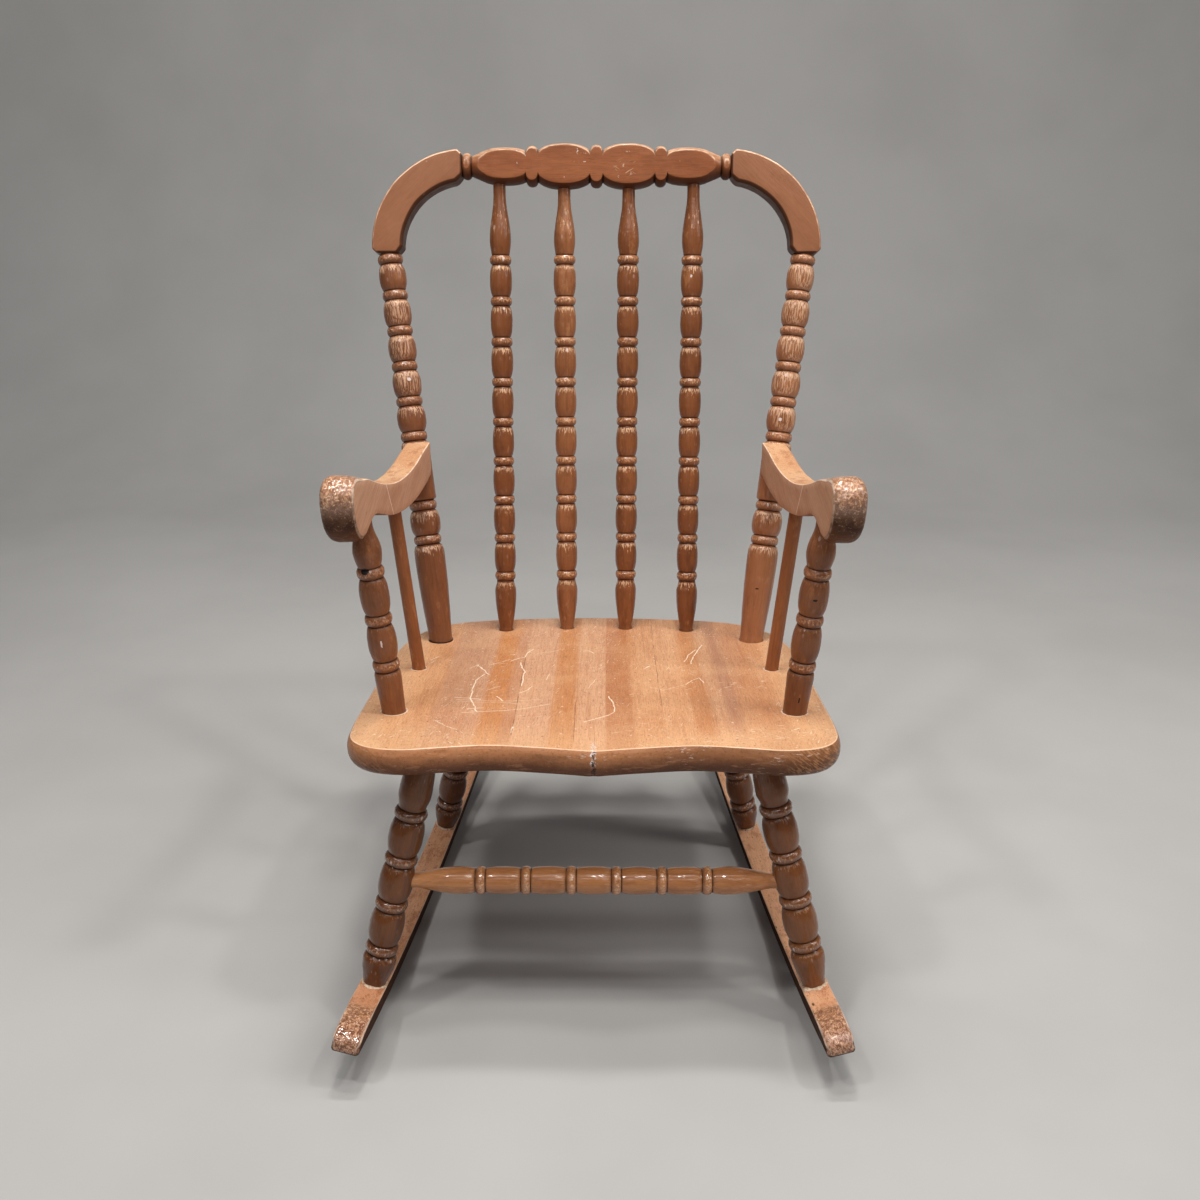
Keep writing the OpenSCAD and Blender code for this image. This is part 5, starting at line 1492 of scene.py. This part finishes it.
def fn(x, y, z):
    p = np.stack([x, y, z], 1)
    side = sm(z, -0.3, -3)
    # scars along the edge
    k = (vnoise(p, (0.02, 0.02, 0.05), 101) - 0.5) * 1.0 * side
    k += np.clip(vnoise(p, (0.09, 0.09, 0.25), 102) - 0.74, 0, 1) * 3.2 * sm(z, -0.2, -2) * sm(z, -25, -20)
    c = np.sign(x) * k * sm(np.abs(x), 150, 200)
    f = k * np.where(y < 60, 1.0, np.where(y > 330, -1.0, 0.0))
    # the knock at the middle of the front
    dip = 1.4 * np.exp(-(x / 1.6) ** 2) * sm(y, 30, 5) * side
    z = z + (vnoise(p, (0.012, 0.004, 0.001), 103) - 0.5) * 0.5 * sm(z, -0.6, 0)
    return seat_map(x - c * 0.7, y + f + dip, z)


def grain(x, y, z):
    return np.stack([x, z, y], 1)


def mask(x, y, z, k, N):
    n_ = len(x)
    R_ = 0.0 if k < nt else 1.0
    B_ = 1.0 if k in (nt - 1, nt) else (0.25 if k == nt - 2 else 0.0)
    G_ = 1.0 if k >= nrs - 3 else 0.0
    return np.stack([np.full(n_, R_), np.full(n_, G_), np.full(n_, B_)], 1)


for k in range(2):
    FEET.append((SP_FX[k], SP_FY[k] / math.cos(TILT), 7.0, False))
FEET += [(POST_FOOT[0], POST_FOOT[1] / math.cos(TILT), 11.9, False), (ARM_POST_FOOT[0], ARM_POST_FOOT[1] / math.cos(TILT), 10.3, True),
         (DOWEL_FOOT[0], DOWEL_FOOT[1] / math.cos(TILT), 6.35, True)]
# painted shade of the open gap in front of the left back post: x, y and radius in mm
GAP_SHADE = (-POST_FOOT[0] + 0.4, POST_FOOT[1] / math.cos(TILT) - 3.9, 12.8)
MAT["seat"] = seat_mat("seat_wood")
ob = slab("seat_board_wood", P, rows, fn, grain, mask, sharp=60)
place(ob, MAT["seat"], "seat_wood", "seat")


# --- old glue round the feet of the legs
def glue_ring(name, foot, top, u, r, seed, left, thick):
    n_ = rock_map(A(0.0), A(u * 1.0), A(30.0)) - rock_map(A(0.0), A(u * 1.0), A(0.0))
    n_ = n_.reshape(3)
    tang = (rock_map(A(0.0), A(u + 1.0), A(rock_low(u + 1.0))) - rock_map(A(0.0), A(u - 1.0), A(rock_low(u - 1.0)))).reshape(3)
    across = np.cross(tang, n_)
    n_ = np.cross(across, tang)
    n_ /= np.linalg.norm(n_)
    ex, ey, ez = axes(top, foot)
    seg, sec = 72, 12
    V, G = [], []
    for i in range(seg):
        th = 2 * math.pi * i / seg
        d = math.cos(th) * ex + math.sin(th) * ey
        c = r * d
        c = c - ez * (c @ n_) / (ez @ n_)
        out = c - n_ * (c @ n_)
        out /= np.linalg.norm(out)
        q = A(math.cos(th) * 9, math.sin(th) * 9, 0)[None]
        t = thick * (0.35 + 1.3 * float(vnoise(q, 0.35, seed)[0])) * (0.7 + 0.6 * float(vnoise(q, 0.9, seed + 1)[0]))
        t *= 0.75 + 1.1 * max(0.0, -out[1]) ** 2
        for j in range(sec):
            ph = 2 * math.pi * j / sec
            p = foot + c + out * (0.1 + t * 1.35 * math.cos(ph)) + n_ * (0.05 + t * 0.42 * math.sin(ph))
            V.append(p)
            G.append(p + seed)
    faces = [(i * sec + j, i * sec + (j + 1) % sec, ((i + 1) % seg) * sec + (j + 1) % sec, ((i + 1) % seg) * sec + j)
             for i in range(seg) for j in range(sec)]
    V = np.array(V)
    return make(name, V, faces, np.array(G), np.zeros((len(V), 3)), left)


for left, w in SIDES:
    ob = glue_ring(f"front_foot_glue_{w}", FRONT_FOOT, FRONT_TOP, -197.5, 10.3, 111 + left, left, 1.1 if left else 1.7)
    place(ob, MAT["glue"], "rocker_wood")
    ob = glue_ring(f"rear_foot_glue_{w}", REAR_FOOT, REAR_TOP, 97.4, 10.0, 121 + left, left, 1.0)
    place(ob, MAT["glue"], "rocker_wood")

# --- the screws keep their CAD mesh
sc_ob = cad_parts["arm_screws"]
for i in range(max(1, len(sc_ob.material_slots))):
    if sc_ob.material_slots:
        sc_ob.material_slots[i].material = MAT["steel"]
    else:
        sc_ob.data.materials.append(MAT["steel"])

# ------------------------------------------------------------------ studio
scene = bpy.context.scene
scene.view_settings.view_transform = "Standard"
scene.view_settings.look = "None"
scene.view_settings.exposure = 0.0
scene.view_settings.gamma = 1.0


def floor_and_wall():
    """One sheet: a pale floor that curves up into a backdrop behind the chair."""
    prof = [(-4.0, 0.0), (-2.0, 0.0), (0.6, 0.0), (1.5, 0.0)]
    for i in range(1, 17):
        a = math.pi / 2 * i / 16
        prof.append((1.5 + 0.9 * math.sin(a), 0.9 - 0.9 * math.cos(a)))
    prof += [(2.4, 1.8), (2.4, 3.0), (2.4, 4.6)]
    xs = np.linspace(-4, 4, 17)
    V = [(x, y, z) for (y, z) in prof for x in xs]
    m = len(xs)
    F = [(i * m + j, i * m + j + 1, (i + 1) * m + j + 1, (i + 1) * m + j) for i in range(len(prof) - 1) for j in range(m - 1)]
    me = bpy.data.meshes.new("floor")
    me.from_pydata(V, [], F)
    me.shade_smooth()
    ob = bpy.data.objects.new("floor", me)
    scene.collection.objects.link(ob)
    T = Tree("floor_paper")
    tc = T.t.nodes.new("ShaderNodeTexCoord")
    n = T.noise(T.vec(tc.outputs["Object"], (2.2, 2.2, 2.2)), detail=4, rough=0.55)
    f = T.noise(T.vec(tc.outputs["Object"], (260, 260, 260)), detail=2)
    col = T.mix(T.step(n, 0.35, 0.7), srgb(188, 186, 183), srgb(181, 179, 176))
    T.put(T.b.inputs["Base Color"], col)
    T.b.inputs["Roughness"].default_value = 0.85
    T.b.inputs["Specular IOR Level"].default_value = 0.25
    T.put(T.b.inputs["Normal"], T.bump(f, 0.05, 0.0006))
    me.materials.append(T.mat)
    ob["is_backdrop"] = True
    return ob


floor_and_wall()

world = bpy.data.worlds.new("studio")
scene.world = world
world.use_nodes = True
bg = world.node_tree.nodes["Background"]
bg.inputs[0].default_value = (0.86, 0.90, 1.0, 1.0)
bg.inputs[1].default_value = 0.10


def area(name, loc, target, size, power, colour=(1, 1, 1), size_y=None):
    l = bpy.data.lights.new(name, "AREA")
    l.shape = "RECTANGLE"
    l.size, l.size_y = size, size_y or size
    l.energy = power
    l.color = colour
    o = bpy.data.objects.new(name, l)
    d = np.array(target, float) - np.array(loc, float)
    d /= np.linalg.norm(d)
    up = A(0, 0, 1) if abs(d[2]) < 0.98 else A(0, 1, 0)
    x = np.cross(d, up)
    x /= np.linalg.norm(x)
    y = np.cross(x, d)
    o.matrix_world = Matrix(((x[0], y[0], -d[0], loc[0]), (x[1], y[1], -d[1], loc[1]), (x[2], y[2], -d[2], loc[2]), (0, 0, 0, 1)))
    scene.collection.objects.link(o)
    return o


area("overhead_front", (0.1, -0.85, 2.5), (0, -0.1, 0.3), 2.2, 10, (1.0, 0.985, 0.96), 0.35)
area("overhead_back", (0.0, 0.14, 2.55), (0, 0, 0.3), 1.8, 14, (1.0, 0.985, 0.96), 0.10)
area("front_strip", (0.2, -2.2, 2.2), (0, 0, 0.45), 2.2, 9, (1.0, 0.99, 1.0), 0.22)
area("front_fill", (-1.2, -2.6, 1.7), (0, 0, 0.4), 1.6, 4, (0.96, 0.98, 1.0))
area("side", (2.1, -0.7, 1.9), (0, 0, 0.4), 0.5, 14, (1.0, 0.98, 0.95), 1.6)
for k, (lx, ly, lz) in enumerate([(-0.85, -0.9, 2.3), (0.15, -1.15, 2.4), (0.95, -0.6, 2.3), (-0.1, -0.3, 2.5), (0.0, 0.15, 2.5)]):
    area(f"lamp_{k}", (lx, ly, lz), (0, 0, 0.3), 0.17, 8, (1.0, 0.98, 0.96), 0.15)

# camera: 34.9 mm on a 36 mm sensor, just above the crest rail, looking down 19.8 degrees
TH, PSI, ROLL = math.radians(19.834), math.radians(-0.203), math.radians(0.037)
fwd = A(math.sin(PSI) * math.cos(TH), math.cos(PSI) * math.cos(TH), -math.sin(TH))
rt = A(math.cos(PSI), -math.sin(PSI), 0)
upv = np.cross(rt, fwd)
r2 = rt * math.cos(ROLL) + upv * math.sin(ROLL)
u2 = -rt * math.sin(ROLL) + upv * math.cos(ROLL)
cam_data = bpy.data.cameras.new("camera")
cam_data.sensor_fit = "HORIZONTAL"
cam_data.sensor_width = 36.0
cam_data.lens = 34.914
cam_data.clip_start, cam_data.clip_end = 0.05, 30
cam = bpy.data.objects.new("camera", cam_data)
loc = (0.008244, -1.05678, 0.71402)
cam.matrix_world = Matrix(((r2[0], u2[0], -fwd[0], loc[0]), (r2[1], u2[1], -fwd[1], loc[1]), (r2[2], u2[2], -fwd[2], loc[2]), (0, 0, 0, 1)))
scene.collection.objects.link(cam)
scene.camera = cam

size_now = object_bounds()
plain = lambda b: [[float(x) for x in p] for p in b]
{"cad": plain(size_cad), "visual": plain(size_now)}
